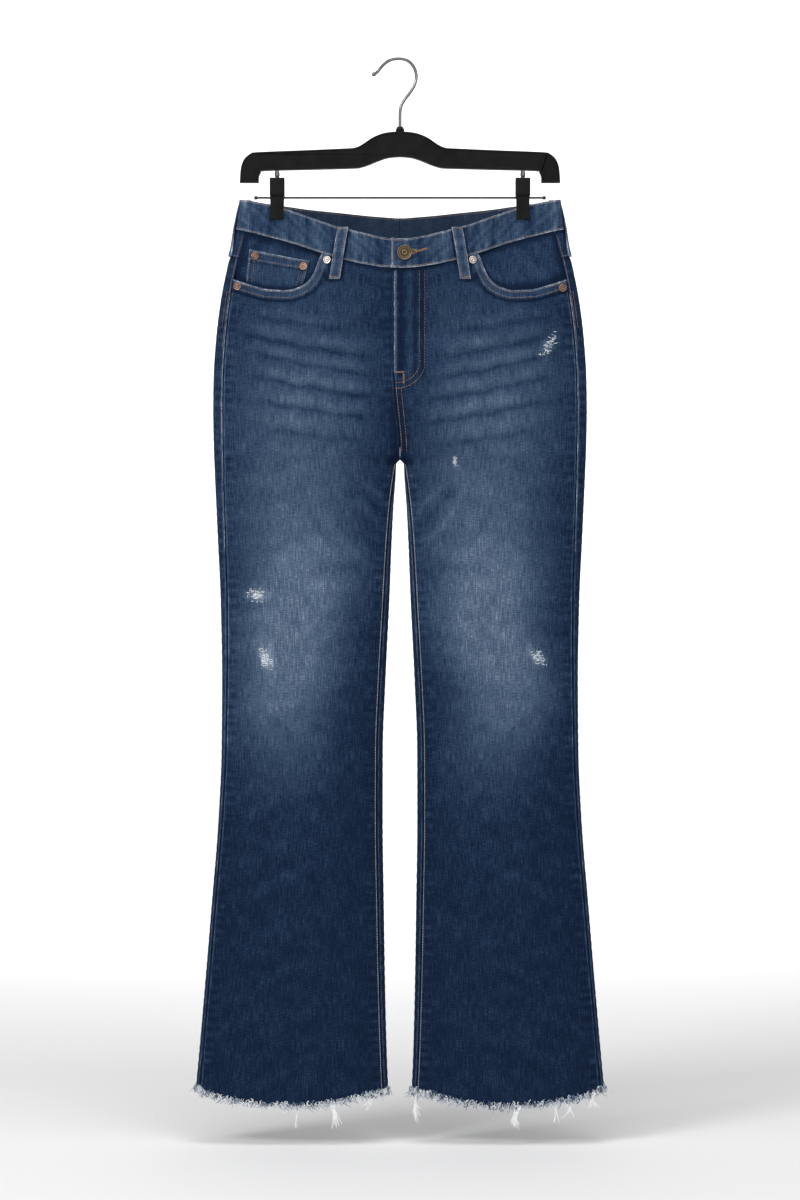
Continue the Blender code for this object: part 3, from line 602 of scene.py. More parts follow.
def puckers(half: Half, along: Array, away: Array, phase: float) -> tuple[Array, Array]:
    """The small dimples that shrunk thread pulls into the cloth beside a seam.

    Args:
        half: the half, which varies them.
        along: distance along the seam.
        away: distance from it.
        phase: shifts them, so that no two seams match.

    Returns:
        Height from -1 to 1, and how much of it shows.
    """
    pitch = along / 11.6 + 0.28 * wobble(along, 173, 61, phase=phase) + 0.5 * phase
    strength = 0.62 + 0.38 * wobble(along, 137, 83, phase=phase + half.side)
    height = np.sin(math.tau * pitch) * strength
    return height, bump(7.5, 6.5, away)


def dress_seam(
    places: Places, along: Array, away: Array, phase: float, high: float = 0.35, sink: Array | float = 0.75
) -> None:
    """Rolls a panel's edge into its seam and puckers the cloth beside it.

    Args:
        places: the panel's points, whose lift, wear and shade are changed.
        along: distance along the seam.
        away: distance from it.
        phase: shifts the puckers.
        high: height of the puckers.
        sink: how far the very edge turns in.
    """
    dimple, shown = puckers(places.half, along, away, phase)
    # The shade here is painted shade: darker in the puckers' troughs and in the seam's groove, where some
    # dark dye also stays.
    places.add(
        lift=high * dimple * shown - sink * bump(0.0, 0.9, away),
        wear=0.32 * np.clip(dimple, 0, 1) * shown + 0.85 * bump(1.9, 0.9, away),
        shade=0.42 * np.clip(-dimple, 0, 1) * shown + bump(0.0, 1.0, away),
    )


def spaced(count: int, crowd: float = 0.72) -> Array:
    """Shares from 0 to 1 that lie closer together at both ends."""
    t = np.linspace(0.0, 1.0, count + 1)
    return t - crowd * np.sin(math.tau * t) / math.tau


def grid_mesh(columns: int, rows: int) -> tuple[bmesh.types.BMesh, Array, Array]:
    """A flat grid and the column and row of each vertex.

    Args:
        columns: cells across.
        rows: cells down.

    Returns:
        The bmesh and two arrays of whole numbers.
    """
    bm = bmesh.new()
    bmesh.ops.create_grid(bm, x_segments=columns, y_segments=rows, size=1)
    co = np.array([vert.co[:2] for vert in bm.verts])
    column = np.rint((co[:, 0] + 1) / 2 * columns).astype(int)
    row = np.rint((1 - co[:, 1]) / 2 * rows).astype(int)
    return bm, column, row


def linked(name: str, data: bpy.types.ID) -> bpy.types.Object:
    """A new object of some data, linked to the scene."""
    thing = bpy.data.objects.new(name, data)
    bpy.context.scene.collection.objects.link(thing)
    return thing


def mesh_of(name: str, bm: bmesh.types.BMesh) -> bpy.types.Mesh:
    """A mesh of a bmesh, whose faces are turned outwards first and which is freed.

    Args:
        name: the mesh's name.
        bm: the bmesh.

    Returns:
        The mesh.
    """
    bmesh.ops.recalc_face_normals(bm, faces=bm.faces[:])
    mesh = bpy.data.meshes.new(name)
    bm.to_mesh(mesh)
    bm.free()
    return mesh


def new_verts(made: dict) -> list[bmesh.types.BMVert]:
    """The vertices among what an extrusion made."""
    return [item for item in made["geom"] if isinstance(item, bmesh.types.BMVert)]


def finished(name: str, mesh: bpy.types.Mesh, material: bpy.types.Material) -> bpy.types.Object:
    """Makes a piece of a mesh, gives it its finish and lets it ride on the body.

    Args:
        name: the piece's name.
        mesh: its mesh, already in place.
        material: its finish.

    Returns:
        The piece's object.
    """
    mesh.materials.clear()
    mesh.materials.append(material)
    mesh.shade_smooth()
    thing = linked(name, mesh)
    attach(thing, "root")
    LOG.info("%s: %d faces", name, len(mesh.polygons))
    return thing


@dataclass(frozen=True)
class Cut:
    """The flat size that a piece was cut to, in metres, and its area in square metres."""

    width: float
    length: float
    area: float


def cloth_piece(
    node: str,
    columns: int,
    rows: int,
    place: Callable[[Array, Array], tuple[Places, Array]],
    material: bpy.types.Material,
    cut: Cut,
    *rests_on: str,
    thick: float = DENIM,
) -> bpy.types.Object:
    """Args:
        node: the CAD node that it stands for.
        columns: cells across.
        rows: cells down.
        place: gives the places and the UV points in metres of each vertex's column and row.
        material: the finish.
        cut: the flat size of what shows; not used.
        rests_on: what it hangs from or lies on; not used.
        thick: the wall's thickness.

    Returns:
        The piece's object.
    """
    bm, column, row = grid_mesh(columns, rows)
    places, uv = place(column, row)
    outer = bm.verts[:]
    made = bmesh.ops.extrude_face_region(bm, geom=bm.faces[:], use_keep_orig=True)
    inner = new_verts(made)
    inner_co = np.array([vert.co[:2] for vert in inner])
    inner_column = np.rint((inner_co[:, 0] + 1) / 2 * columns)
    inner_at = inner_column + np.rint((1 - inner_co[:, 1]) / 2 * rows) * (columns + 1)
    where = {int(key): i for i, key in enumerate(column + row * (columns + 1))}
    twin = np.array([where[int(key)] for key in inner_at])
    for vert, point in zip(outer, places.points()):
        vert.co = point
    sunk = places.points(thick)
    for vert, i in zip(inner, twin):
        vert.co = sunk[i]
    name = f"{node}_cloth"
    mesh = mesh_of(name, bm)
    order = np.concatenate((np.arange(len(outer)), twin))
    inside = np.concatenate((np.zeros(len(outer)), np.ones(len(inner))))
    finish = {key: getattr(places, key)[order] for key in ("wash", "wear", "shade")}
    finish["inside"] = inside
    for attribute, values in finish.items():
        layer = mesh.attributes.new(attribute, "FLOAT", "POINT")
        layer.data.foreach_set("value", np.ascontiguousarray(values, np.float32))
    corners = np.zeros(len(mesh.loops), np.int32)
    mesh.loops.foreach_get("vertex_index", corners)
    uv_layer = mesh.uv_layers.new(name="cloth")
    uv_layer.data.foreach_set("uv", np.ascontiguousarray(uv[order][corners], np.float32).ravel())
    piece = finished(name, mesh, material)
    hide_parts(node)
    return piece


def seam_turn(half: Half, turn: Array, z: Array) -> Array:
    """Angle that is half a seam's gap along the ring, a little more where the seam slants.

    Args:
        half: the half of the garment.
        turn: angles round the ring.
        z: heights.

    Returns:
        The angle at each place.
    """
    step = 0.01
    x0, y0, _behind = half.around(turn - step, z)
    x1, y1, _behind = half.around(turn + step, z)
    slanting = (z > CROTCH_Z - 60) & (z < CROTCH_Z + 5)
    share = np.where(slanting, 0.15, 0.8)
    return share * SEAM_GAP * step / np.hypot(x1 - x0, y1 - y0)


@dataclass
class Panels:
    """The fronts, backs and yokes.

    Args:
        denim: their finish.
        columns: cells across a front.
        back_columns: cells across a back or yoke.
        rows: cells down a leg panel.
    """

    denim: bpy.types.Material
    columns: int = 84
    back_columns: int = 92
    rows: int = 318
    front_top: float = -265.0
    front_settled: float = -306.0
    back_top: float = -296.0
    back_settled: float = -328.0
    low: float = -1317.0
    front_cut: Cut = Cut(0.262, 1.10, 0.22)
    back_cut: Cut = Cut(0.30, 1.07, 0.26)
    yoke_cut: Cut = Cut(0.27, 0.075, 0.0111)

    def build(self) -> None:
        """Builds the panels of both sides."""
        for half in HALVES.values():
            self.front(half)
            self.back(half)
            self.yoke(half)

    def leg(self, half: Half, face: Face, column: Array, row: Array) -> tuple[Places, Array]:
        """Places of a front or back panel.

        Args:
            half: its half.
            face: which of the two it is.
            column: column of each vertex.
            row: row of each vertex.

        Returns:
            The places and their UV points.
        """
        front = face == Face.FRONT
        columns = self.columns if front else self.back_columns
        share = spaced(columns)[column]
        top = self.front_top if front else self.back_top
        settled = self.front_settled if front else self.back_settled
        down = np.linspace(0.0, 1.0, self.rows + 1)
        down = down - 0.25 * np.sin(math.tau * down) / math.tau
        row_z = mix(top, self.low, down[row])
        waist = np.clip((row_z - settled) / (top - settled), 0.0, 1.0)
        hem = ease(*HEM_FADE, row_z)
        z = row_z.copy()
        for _ in range(SETTLE_ROUNDS):
            turn = self.turn(half, face, share, z)
            x, _y, _behind = half.around(turn, z)
            x = np.abs(x)
            edge = np.where(x < SCOOP_START, WAIST_SEAM[Face.FRONT](x) - SEAM_GAP / 2, SCOOP_LINE(x))
            edge = edge if front else YOKE_LINE(x) - SEAM_GAP / 2
            z = row_z + (edge - top) * waist + (HEM_LINE(x) - self.low) * hem
        turn = self.turn(half, face, share, z)
        places = Places.flat(half, turn, z)
        places.wash = face_values(half, turn, z, lambda f, x, h: wash_at(half, f, x, h))
        places.lift = face_values(half, turn, z, lambda f, x, h: relief_at(half, f, x, h))
        # Painted shade: the dark line in the crease below each worn hip line.
        if front:
            places.shade = np.clip(-0.34 * whiskers(half.side, x, z), 0, 1)
        return places, self.uv(half, turn, z)

    def turn(self, half: Half, face: Face, share: Array, z: Array) -> Array:
        """Angles across a panel between its two seams.

        Args:
            half: the half of the garment.
            face: the front or the back.
            share: shares across the panel, from 0 to 1.
            z: heights.

        Returns:
            The angle of each share.
        """
        if face == Face.FRONT:
            start, end = half.inner_turn(z, face), half.outseam_turn(z)
        else:
            start, end = half.outseam_turn(z), half.inner_turn(z, face)
        return mix(start + seam_turn(half, start, z), end - seam_turn(half, end, z), share)

    @staticmethod
    def uv(half: Half, turn: Array, z: Array) -> Array:
        """UV points in metres: distance from the outseam round the ring, and height."""
        x, y, behind = half.around(turn, z)
        across = np.where(behind, 2 * OUTER(z) - x, x) - OUTER(z) * 0.5
        return np.stack((across, z), axis=-1) * MM

    def front(self, half: Half) -> bpy.types.Object:
        """Builds a front with its rise, inseam, outseam and scooped pocket edge.

        Args:
            half: the half of the garment.

        Returns:
            The piece's object.
        """

        def place(column: Array, row: Array) -> tuple[Places, Array]:
            places, uv = self.leg(half, Face.FRONT, column, row)
            z = places.z
            x, _y, _behind = half.around(places.turn, z)
            self.dress_sides(places, x, INNER(z) + INSEAM(z), OUTER(z) - OUTSEAM(z))
            scoop = np.where(x > SCOOP_START - 6, SCOOP_LINE(x) - z, FAR)
            near = distance_to_scoop(x, z)
            rub = 0.8 + 0.3 * wobble(x, 13, 7.3, 31)
            places.add(wear=1.5 * rub * bump(0.6, 1.6, near) + 0.35 * bump(11.0, 1.6, near))
            places.add(lift=1.0 * (1 - ease(10.6, 13.0, near)) - 0.6 * bump(0.0, 0.9, near))
            # Painted shadow under the turned edge of the pocket opening.
            places.add(shade=bump(13.4, 2.0, near))
            places.add(wash=0.12 * bump(6.0, 6.0, near))
            places.add(wear=abrasion_at(half, x, z))
            # Painted shadow along the foot of the waistband.
            waist = WAIST_SEAM[Face.FRONT](x) - z
            band = np.where(scoop < 90, FAR, waist)
            places.add(shade=bump(0.0, 3.4, band))
            # Painted shadow round the belt loop.
            places.add(shade=painted_loop_shadow(x, z))
            self.dress_fly(places, x - half_rise(half, z))
            return places, uv

        word = half.side.word
        return cloth_piece(
            f"front_{word}", self.columns, self.rows, place, self.denim, self.front_cut,
            f"waistband_{word}_cloth",
        )

    def dress_sides(self, places: Places, x: Array, inner: Array, outer: Array) -> None:
        """Dresses the rise, inseam and outseam edges of a front or back.

        Args:
            places: the panel's points, which are changed.
            x: distances from the middle.
            inner: where the inseam lies.
            outer: where the outseam lies.
        """
        z = places.z
        below = z < CROTCH_Z
        rise = x - half_rise(places.half, z)
        away = np.where(below, x - inner, rise)
        dress_seam(places, z, np.where(below, away, FAR), 1.0, 0.42)
        dress_seam(places, z, np.where(below, FAR, away), 2.0, 0.2, 0.75 * ease(-480, -430, z))
        dress_seam(places, z, outer - x, 3.0 + places.half.side, 0.36)

    @staticmethod
    def dress_fly(places: Places, away: Array) -> None:
        """Wears the fly's folded edge pale and paints shade into the dips beside it and above the crotch.

        Args:
            places: a front's points.
            away: distance from its edge at the centre.
        """
        z = places.z
        fly = ease(-404, -396, z)
        low = ease(-400, -440, z) * ease(CROTCH_Z - 14, CROTCH_Z, z)
        if places.half.side == Side.LEFT:
            rub = 0.75 + 0.35 * wobble(z, 23, 9.7, 41)
            places.add(wear=fly * (1.3 * rub * bump(1.3, 2.0, away) + 0.3 * bump(20, 3, away)))
            # Painted shade in the dips beside the fly's folded edge and along its stitching.
            dips = 0.7 * bump(9.0, 3.6, away) + 0.5 * bump(26.5, 2.2, away) + 0.8 * bump(35.5, 2.4, away)
            places.add(lift=fly * (0.5 * (1 - ease(40, 43, away)) - 0.3 * bump(9.0, 3.0, away)))
            places.add(shade=fly * dips)
        else:
            # Painted shadow of the left front's lapping edge.
            places.add(shade=0.8 * fly * bump(0.0, 3.2, away))
        # Painted shade above the crotch.
        places.add(shade=0.75 * low * bump(0.0, 9.0, away))

    def back(self, half: Half) -> bpy.types.Object:
        """Builds a back, which wraps round both folds onto the front.

        Args:
            half: the half of the garment.

        Returns:
            The piece's object.
        """

        def place(column: Array, row: Array) -> tuple[Places, Array]:
            places, uv = self.leg(half, Face.BACK, column, row)
            z = places.z
            x, _y, behind = half.around(places.turn, z)
            outer = np.where(behind, OUTER(z) - x + OUTSEAM(z) + 2, x - OUTER(z) + OUTSEAM(z))
            inner = np.where(behind, x - INNER(z) + INSEAM(z), INNER(z) + INSEAM(z) - x)
            rise = np.where(behind, x, FAR)
            below = z < CROTCH_Z
            dress_seam(places, z, np.where(below & (x < OUTER(z) * 0.5), inner, FAR), 4.0, 0.3)
            dress_seam(places, z, np.where(below, FAR, rise), 5.0, 0.3, 0.75 * ease(-480, -430, z))
            dress_seam(places, z, outer, 6.0 + half.side, 0.3)
            fold = bump(0.0, 5.0, OUTER(z) - x)
            places.add(wear=0.22 * fold * (0.6 + 0.4 * wobble(z, 41, 27)))
            yoke = YOKE_LINE(x) - z
            dress_seam(places, x, np.where(behind | (z > -330), yoke, FAR), 7.0, 0.25)
            return places, uv

        word = half.side.word
        return cloth_piece(
            f"back_{word}", self.back_columns, self.rows, place, self.denim, self.back_cut,
            f"yoke_{word}_cloth",
        )

    def yoke(self, half: Half) -> bpy.types.Object:
        """Builds a yoke between the waistband and the back.

        Args:
            half: the half of the garment.

        Returns:
            The piece's object.
        """
        rows = 26

        def place(column: Array, row: Array) -> tuple[Places, Array]:
            share, down = spaced(self.back_columns)[column], spaced(rows, 0.6)[row]
            z = np.full(len(column), -240.0)
            for _ in range(SETTLE_ROUNDS):
                turn = self.turn(half, Face.BACK, share, z)
                x, _y, behind = half.around(turn, z)
                x = np.abs(x)
                upper = np.where(behind, WAIST_SEAM[Face.BACK](x), WAIST_SEAM[Face.FRONT](x)) - SEAM_GAP / 2
                lower = YOKE_LINE(x) + SEAM_GAP / 2
                z = mix(upper, lower, down)
            turn = self.turn(half, Face.BACK, share, z)
            places = Places.flat(half, turn, z)
            places.wash = face_values(half, turn, z, lambda f, a, h: wash_at(half, f, a, h))
            dress_seam(places, x, z - lower, 8.0, 0.25)
            places.add(wear=0.5 * bump(1.6, 1.0, z - lower))
            # Painted shadow just under the waistband.
            places.add(shade=0.8 * bump(0.0, 3.0, upper - z))
            rise = np.where(behind, x, FAR)
            dress_seam(places, z, rise, 9.0, 0.2)
            return places, self.uv(half, turn, z)

        word = half.side.word
        return cloth_piece(
            f"yoke_{word}", self.back_columns, rows, place, self.denim, self.yoke_cut,
            f"waistband_{word}_cloth",
        )


def painted_loop_shadow(x: Array, z: Array) -> Array:
    """Painted shadow: the narrow dark line round a front belt loop, from 0 to 1.

    Args:
        x: distances from the middle.
        z: heights.

    Returns:
        The painted shadow at each place.
    """
    (top_x, top_z), (bottom_x, bottom_z) = FRONT_LOOP
    length = top_z - bottom_z
    down = (top_z - z) / length
    beside = np.abs(x - mix(top_x, bottom_x, down)) - LOOP_HALF
    return bump(1.1, 1.5, np.maximum(beside, (np.abs(down - 0.5) - 0.5) * length))


@dataclass
class Waistband:
    """The contoured band, whose left front end laps over the right, and the five loops on it."""

    denim: bpy.types.Material
    columns: int = 220
    rows: int = 18
    band_cut: Cut = Cut(0.447, 0.0415, 0.0183)
    loop_cut: Cut = Cut(0.0148, 0.0715, 0.00103)
    side_loop_cut: Cut = Cut(0.0195, 0.0735, 0.00137)
    loop_half: float = LOOP_HALF
    loop_thick: float = 1.6
    stand: Curve = Curve((0.0, 1.4), (0.15, 2.4), (0.5, 2.8), (0.64, 2.2), (0.85, 1.1), (1.0, 0.8))
    front_loop: tuple[Row, Row] = FRONT_LOOP
    back_loop: tuple[Row, Row] = ((0.0, -195.6), (0.0, -260.0))
    side_top: float = -175.4
    side_bottom: float = -248.0

    def straight_loops(self, side: Side) -> list[tuple[tuple[Row, Row], Face]]:
        """Ends and faces of the loops that lie on one face of a half."""
        front = [(self.front_loop, Face.FRONT)]
        return front + [(self.back_loop, Face.BACK)] if side == Side.LEFT else front

    def build(self) -> None:
        """Builds both band halves and the loops."""
        for side, half in HALVES.items():
            self.band(half)
            self.loop(f"belt_loop_front_{side.word}", half, Face.FRONT, *self.front_loop)
            self.side_loop(half)
        self.loop("belt_loop_back", HALVES[Side.LEFT], Face.BACK, *self.back_loop)

    @staticmethod
    def lap(half: Half, x: Array) -> Array:
        """How far a band half is pushed out or in where its front ends lap."""
        if half.side == Side.LEFT:
            return BAND_LAP * ease(60, 25, x)
        return -BAND_LAP * ease(45, 14, x)

    @classmethod
    def edge_run(
        cls, half: Half, face: Face, table: dict[Face, Curve], inset: float, first: float
    ) -> tuple[Array, Array, Array]:
        """Angles, heights and lifts along one edge of the band on one face, from the front's first place.

        Args:
            half: the half of the garment.
            face: the front or the back.
            table: heights of the edge on each face.
            inset: how far above that edge.
            first: where it starts on the front.

        Returns:
            The angles, the heights and the lifts.
        """
        x = np.linspace(first, 206.0, 300) if face == Face.FRONT else np.linspace(206.0, 1.0, 300)
        z = table[face](np.abs(x)) + inset
        x = np.minimum(x, OUTER(z) - 0.02)
        turn = half.turn_at(x, z)
        if face == Face.FRONT:
            return turn, z, BAND_OUT + cls.lap(half, x)
        return math.tau - turn, z, BAND_OUT + 0.0 * x

    def band(self, half: Half) -> bpy.types.Object:
        """Builds one half of the waistband, from its front end round the fold to the centre back.

        Args:
            half: the half of the garment.

        Returns:
            The piece's object.
        """
        reach = BAND_END[half.side] / OUTER(SECTIONS[0][0])

        def place(column: Array, row: Array) -> tuple[Places, Array]:
            down = spaced(self.rows, 0.8)[row]
            middle = self.columns // 2
            front = column <= middle
            t = np.where(front, column / middle, (self.columns - column) / middle)
            arc = np.where(front, mix(-reach, 1.0, t), t)
            station = np.where(arc > 0.9, 1 - (1 - arc) ** 1.6 * 0.1 ** -0.6, arc)
            z = np.full(len(column), -200.0)
            for _ in range(SETTLE_ROUNDS):
                turn = half.turn_at(np.where(column == self.columns, SEAM_GAP / 2, station * OUTER(z)), z)
                turn = np.where(front, turn, math.tau - turn)
                x, _y, behind = half.around(turn, z)
                top = np.where(behind, BAND_TOP[Face.BACK](np.abs(x)), BAND_TOP[Face.FRONT](np.abs(x)))
                seam = np.where(behind, WAIST_SEAM[Face.BACK](np.abs(x)), WAIST_SEAM[Face.FRONT](np.abs(x)))
                z = mix(top, seam + SEAM_GAP / 2, down)
            places = Places.flat(half, turn, z, 0.33)
            sideways = np.where(behind, -x, x) + 500.0
            edge = np.minimum(top - z, z - seam)
            end = np.where(behind, FAR, x + BAND_END[half.side])
            edge = np.minimum(edge, end)
            lap = np.where(behind, 0.0, self.lap(half, x))
            places.lift = BAND_OUT + lap - 0.55 * bump(0.0, 0.9, edge)
            rub = 0.75 + 0.35 * wobble(sideways, 19, 7.9, 43, phase=float(half.side))
            places.wash = 0.5 + 0.26 * wobble(sideways, 47, 23, 71, phase=3.1 * half.side)
            rims = 1.7 * bump(0.7, 1.7, top - z) + 1.5 * bump(1.1, 1.5, z - seam)
            places.wear = rub * (rims + 1.4 * bump(0.6, 2.2, end))
            dress_seam(places, sideways, np.maximum(z - seam - 3.5, 0.0) + 4, 10.0 + half.side, 0.3)
            dress_seam(places, sideways + 5, np.maximum(top - z - 3.5, 0.0) + 4, 11.0 + half.side, 0.26)
            diagonal = wobble(sideways + 1.5 * (top - z), 17, 29, phase=1.0 + half.side)
            places.add(lift=0.16 * diagonal * bump(19.0, 11.0, top - z))
            places.add(wash=0.14 * diagonal)
            places.wear = np.clip(places.wear, 0, 1)
            # Painted shadow round the front belt loop.
            places.add(shade=np.where(behind, 0.0, painted_loop_shadow(x, z)))
            return places, Panels.uv(half, turn, z)

        word = half.side.word
        return cloth_piece(
            f"waistband_{word}", self.columns, self.rows, place, self.denim, self.band_cut,
            f"clip_front_{word}_jaw", f"clip_back_{word}_jaw", thick=BAND_OUT - BAND_IN,
        )

    def loop(self, node: str, half: Half, face: Face, top: Row, bottom: Row) -> bpy.types.Object:
        """Builds a belt loop that stands off the band between its two sewn ends.

        Args:
            node: the CAD node that it stands for.
            half: the half of the garment.
            face: the front or the back.
            top: middle of its top end.
            bottom: middle of its bottom end.

        Returns:
            The piece's object.
        """
        columns, rows = 10, 44

        def place(column: Array, row: Array) -> tuple[Places, Array]:
            across, down = spaced(columns, 0.5)[column] * 2 - 1, row / rows
            x = mix(top[0], bottom[0], down) + across * self.loop_half
            z = mix(top[1], bottom[1], down)
            turn = half.turn_at(x, z)
            turn = math.tau - turn if face == Face.BACK else turn
            return self.dressed(half, turn, z, across, down), np.stack((x, z), axis=-1) * MM

        return cloth_piece(
            node, columns, rows, place, self.denim, self.loop_cut, f"waistband_{half.side.word}_cloth",
            thick=self.loop_thick,
        )

    def side_loop(self, half: Half) -> bpy.types.Object:
        """Builds the loop that sits over the band's outer fold.

        Args:
            half: the half of the garment.

        Returns:
            The piece's object.
        """
        columns, rows = 12, 44

        def place(column: Array, row: Array) -> tuple[Places, Array]:
            across, down = spaced(columns, 0.5)[column] * 2 - 1, row / rows
            turn = math.pi + mix(0.25, 0.0, down) + across * mix(0.12, 0.19, down)
            z = mix(self.side_top, self.side_bottom, down)
            uv = np.stack((across * self.loop_half, z), axis=-1) * MM
            return self.dressed(half, turn, z, across, down), uv

        word = half.side.word
        return cloth_piece(
            f"belt_loop_side_{word}", columns, rows, place, self.denim, self.side_loop_cut,
            f"waistband_{word}_cloth", thick=self.loop_thick,
        )

    def dressed(self, half: Half, turn: Array, z: Array, across: Array, down: Array) -> Places:
        """Places of a loop with its folded edges worn pale.

        Args:
            half: the half of the garment.
            turn: angles round the ring.
            z: heights.
            across: shares across, from -1 to 1.
            down: shares down, from 0 to 1.

        Returns:
            The places with their wash, wear and shade.
        """
        places = Places.flat(half, turn, z, 0.55)
        edge = (1 - np.abs(across)) * self.loop_half
        places.lift = self.stand(down) + self.loop_thick - 0.5 * bump(0.0, 0.8, edge)
        places.add(lift=0.22 * bump(3.4, 1.2, np.abs(across) * self.loop_half))
        places.wear = np.clip(
            1.1 * bump(0.4, 1.1, edge) + 0.3 * bump(3.4, 1.0, np.abs(across) * self.loop_half)
            + 0.9 * bump(0.0, 0.03, down) + 0.9 * bump(1.0, 0.03, down), 0, 1,
        )
        places.add(wash=0.12 * wobble(z, 13, 21, phase=float(half.side)))
        return places


@dataclass
class Pockets:
    """The facings seen in the hip openings, the coin pocket and the back patches."""

    denim: bpy.types.Material
    facing_cut: Cut = Cut(0.118, 0.094, 0.0098)
    coin_cut: Cut = Cut(0.080, 0.065, 0.0044)
    patch_cut: Cut = Cut(0.140, 0.154, 0.0189)
    facing_low: float = -312.0
    facing_inner: float = 92.0

    def build(self) -> None:
        """Builds every pocket piece."""
        for half in HALVES.values():
            self.facing(half)
            self.patch(half)
        self.coin()

    @staticmethod
    def rise(x: Array, z: Array) -> Array:
        """How far the cloth inside a pocket opening comes up towards the front."""
        return ease(2, 14, z - SCOOP_LINE(x)) * ease(110, 135, x)

    def facing(self, half: Half) -> bpy.types.Object:
        """Builds the denim that shows inside a hip pocket's opening.

        Args:
            half: the half of the garment.

        Returns:
            The piece's object.
        """
        columns, rows = 60, 50
        base = -3.4 if half.side == Side.RIGHT else -1.5

        def place(column: Array, row: Array) -> tuple[Places, Array]:
            z = np.full(len(column), -240.0)
            for _ in range(SETTLE_ROUNDS):
                x = mix(self.facing_inner, OUTER(z) - OUTSEAM(z) - SEAM_GAP, column / columns)
                z = mix(WAIST_SEAM[Face.FRONT](x) - SEAM_GAP / 2, self.facing_low, row / rows)
            turn = half.turn_at(x, z)
            places = Places.flat(half, turn, z, 0.3)
            near = np.minimum(WAIST_SEAM[Face.FRONT](x) - z, OUTER(z) - OUTSEAM(z) - x)
            rise = self.rise(x, z)
            lift = base + 0.9 * rise
            places.lift = mix(lift, -SEAM_GAP, (1 - ease(1, 10, near)) * rise)
            # Painted shadow under the pocket opening's edge and along the seams round the facing.
            places.shade = np.clip(
                1.1 * (1 - ease(0, 13, z - SCOOP_LINE(x))) + 0.9 * bump(0, 4, near) + 0.4 * bump(0, 7, near),
                0, 1,
            )
            places.add(wash=0.1 * wobble(x + z, 53, 31, phase=float(half.side)))
            return places, np.stack((x, z), axis=-1) * MM

        word = half.side.word
        return cloth_piece(
            f"pocket_facing_{word}", columns, rows, place, self.denim, self.facing_cut,
            f"waistband_{word}_cloth",
        )

    def coin(self) -> bpy.types.Object:
        """Builds the small pocket on the right facing."""
        columns, rows = 48, 40
        half = HALVES[Side.RIGHT]

        def place(column: Array, row: Array) -> tuple[Places, Array]:
            across, down = spaced(columns, 0.6)[column], spaced(rows, 0.4)[row]
            x, z = self.coin_spot(across, down)
            places = Places.flat(half, half.turn_at(x, z), z, 0.36)
            top = down * 55.0
            side = np.minimum(across, 1 - across) * 76.0
            places.lift = -1.5 + 0.9 * self.rise(x, z) - 0.45 * bump(0, 0.9, np.minimum(top, side))
            places.add(lift=0.3 * (1 - ease(10.5, 12.5, top)))
            places.wear = np.clip(
                1.3 * bump(0.5, 1.6, top) + 0.6 * bump(11.0, 1.2, top) + 0.9 * bump(0.6, 1.2, side)
                + 0.18 * np.clip(wobble(x + z, 11, 17), 0, 1), 0, 1,
            )
            # Painted shadow under the pocket opening's edge and under the coin pocket's turned hem.
            under = 1 - ease(0, 9, z - SCOOP_LINE(x))
            places.shade = np.clip(under + 0.55 * bump(13.2, 1.3, top), 0, 1)
            return places, np.stack((x, z), axis=-1) * MM

        return cloth_piece(
            "coin_pocket", columns, rows, place, self.denim, self.coin_cut, "pocket_facing_right_cloth"
        )

    @staticmethod
    def coin_spot(across: Array | float, down: Array | float) -> tuple[Array, Array]:
        """X and Z of a share across and down the coin pocket."""
        x = mix(mix(114.0, 190.0, across), mix(128.0, 196.0, across), down)
        return x, mix(mix(-254.5, -239.0, across), mix(-304.0, -302.0, across), down)

    @staticmethod
    def patch_spot(across: Array, down: Array) -> tuple[Array, Array]:
        """X and Z of a share across and down a back pocket, across from -1 to 1."""
        out = across * mix(140.0, 118.0, down) / 2
        reach = 132.0 + 22.0 * (1 - np.abs(across))
        return 106.0 + out, -291.0 + out * mix(0.2, 0.08, down) - down * reach

    def patch(self, half: Half) -> bpy.types.Object:
        """Builds a plain back pocket that lies on the back.

        Args:
            half: the half of the garment.

        Returns:
            The piece's object.
        """
        columns, rows = 64, 70

        def place(column: Array, row: Array) -> tuple[Places, Array]:
            across, down = spaced(columns, 0.6)[column] * 2 - 1, spaced(rows, 0.5)[row]
            x, z = self.patch_spot(across, down)
            turn = math.tau - half.turn_at(x, z)
            places = Places.flat(half, turn, z)
            side, top = (1 - np.abs(across)) * 64.0, down * 142.0
            bottom = (1 - down) * 142.0
            edge = np.minimum(side, bottom)
            places.lift = 0.7 + DENIM + relief_at(half, Face.BACK, x, z)
            places.add(lift=-0.5 * bump(0, 0.9, np.minimum(edge, top)))
            places.add(lift=1.1 * bump(0, 22, top) * bump(0, 46, x - 106.0))
            places.wash = 0.42 + 0.3 * bump(0, 46, x - 106.0) * bump(-350, 60, z)
            places.add(wash=0.07 * wobble(x - z, 53, 33, phase=float(half.side)))
            dress_seam(places, x + z, edge + 1.5, 12.0 + half.side, 0.24)
            # The shade here is a painted shadow line just under the pocket's turned hem.
            places.add(
                wear=0.8 * bump(0.4, 1.5, top) + 0.55 * bump(0.5, 1.3, edge) + 0.35 * bump(14.5, 1.2, top),
                shade=0.4 * bump(16.6, 1.4, top),
            )
            return places, np.stack((x, z), axis=-1) * MM

        word = half.side.word
        return cloth_piece(
            f"back_pocket_{word}", columns, rows, place, self.denim, self.patch_cut, f"back_{word}_cloth"
        )


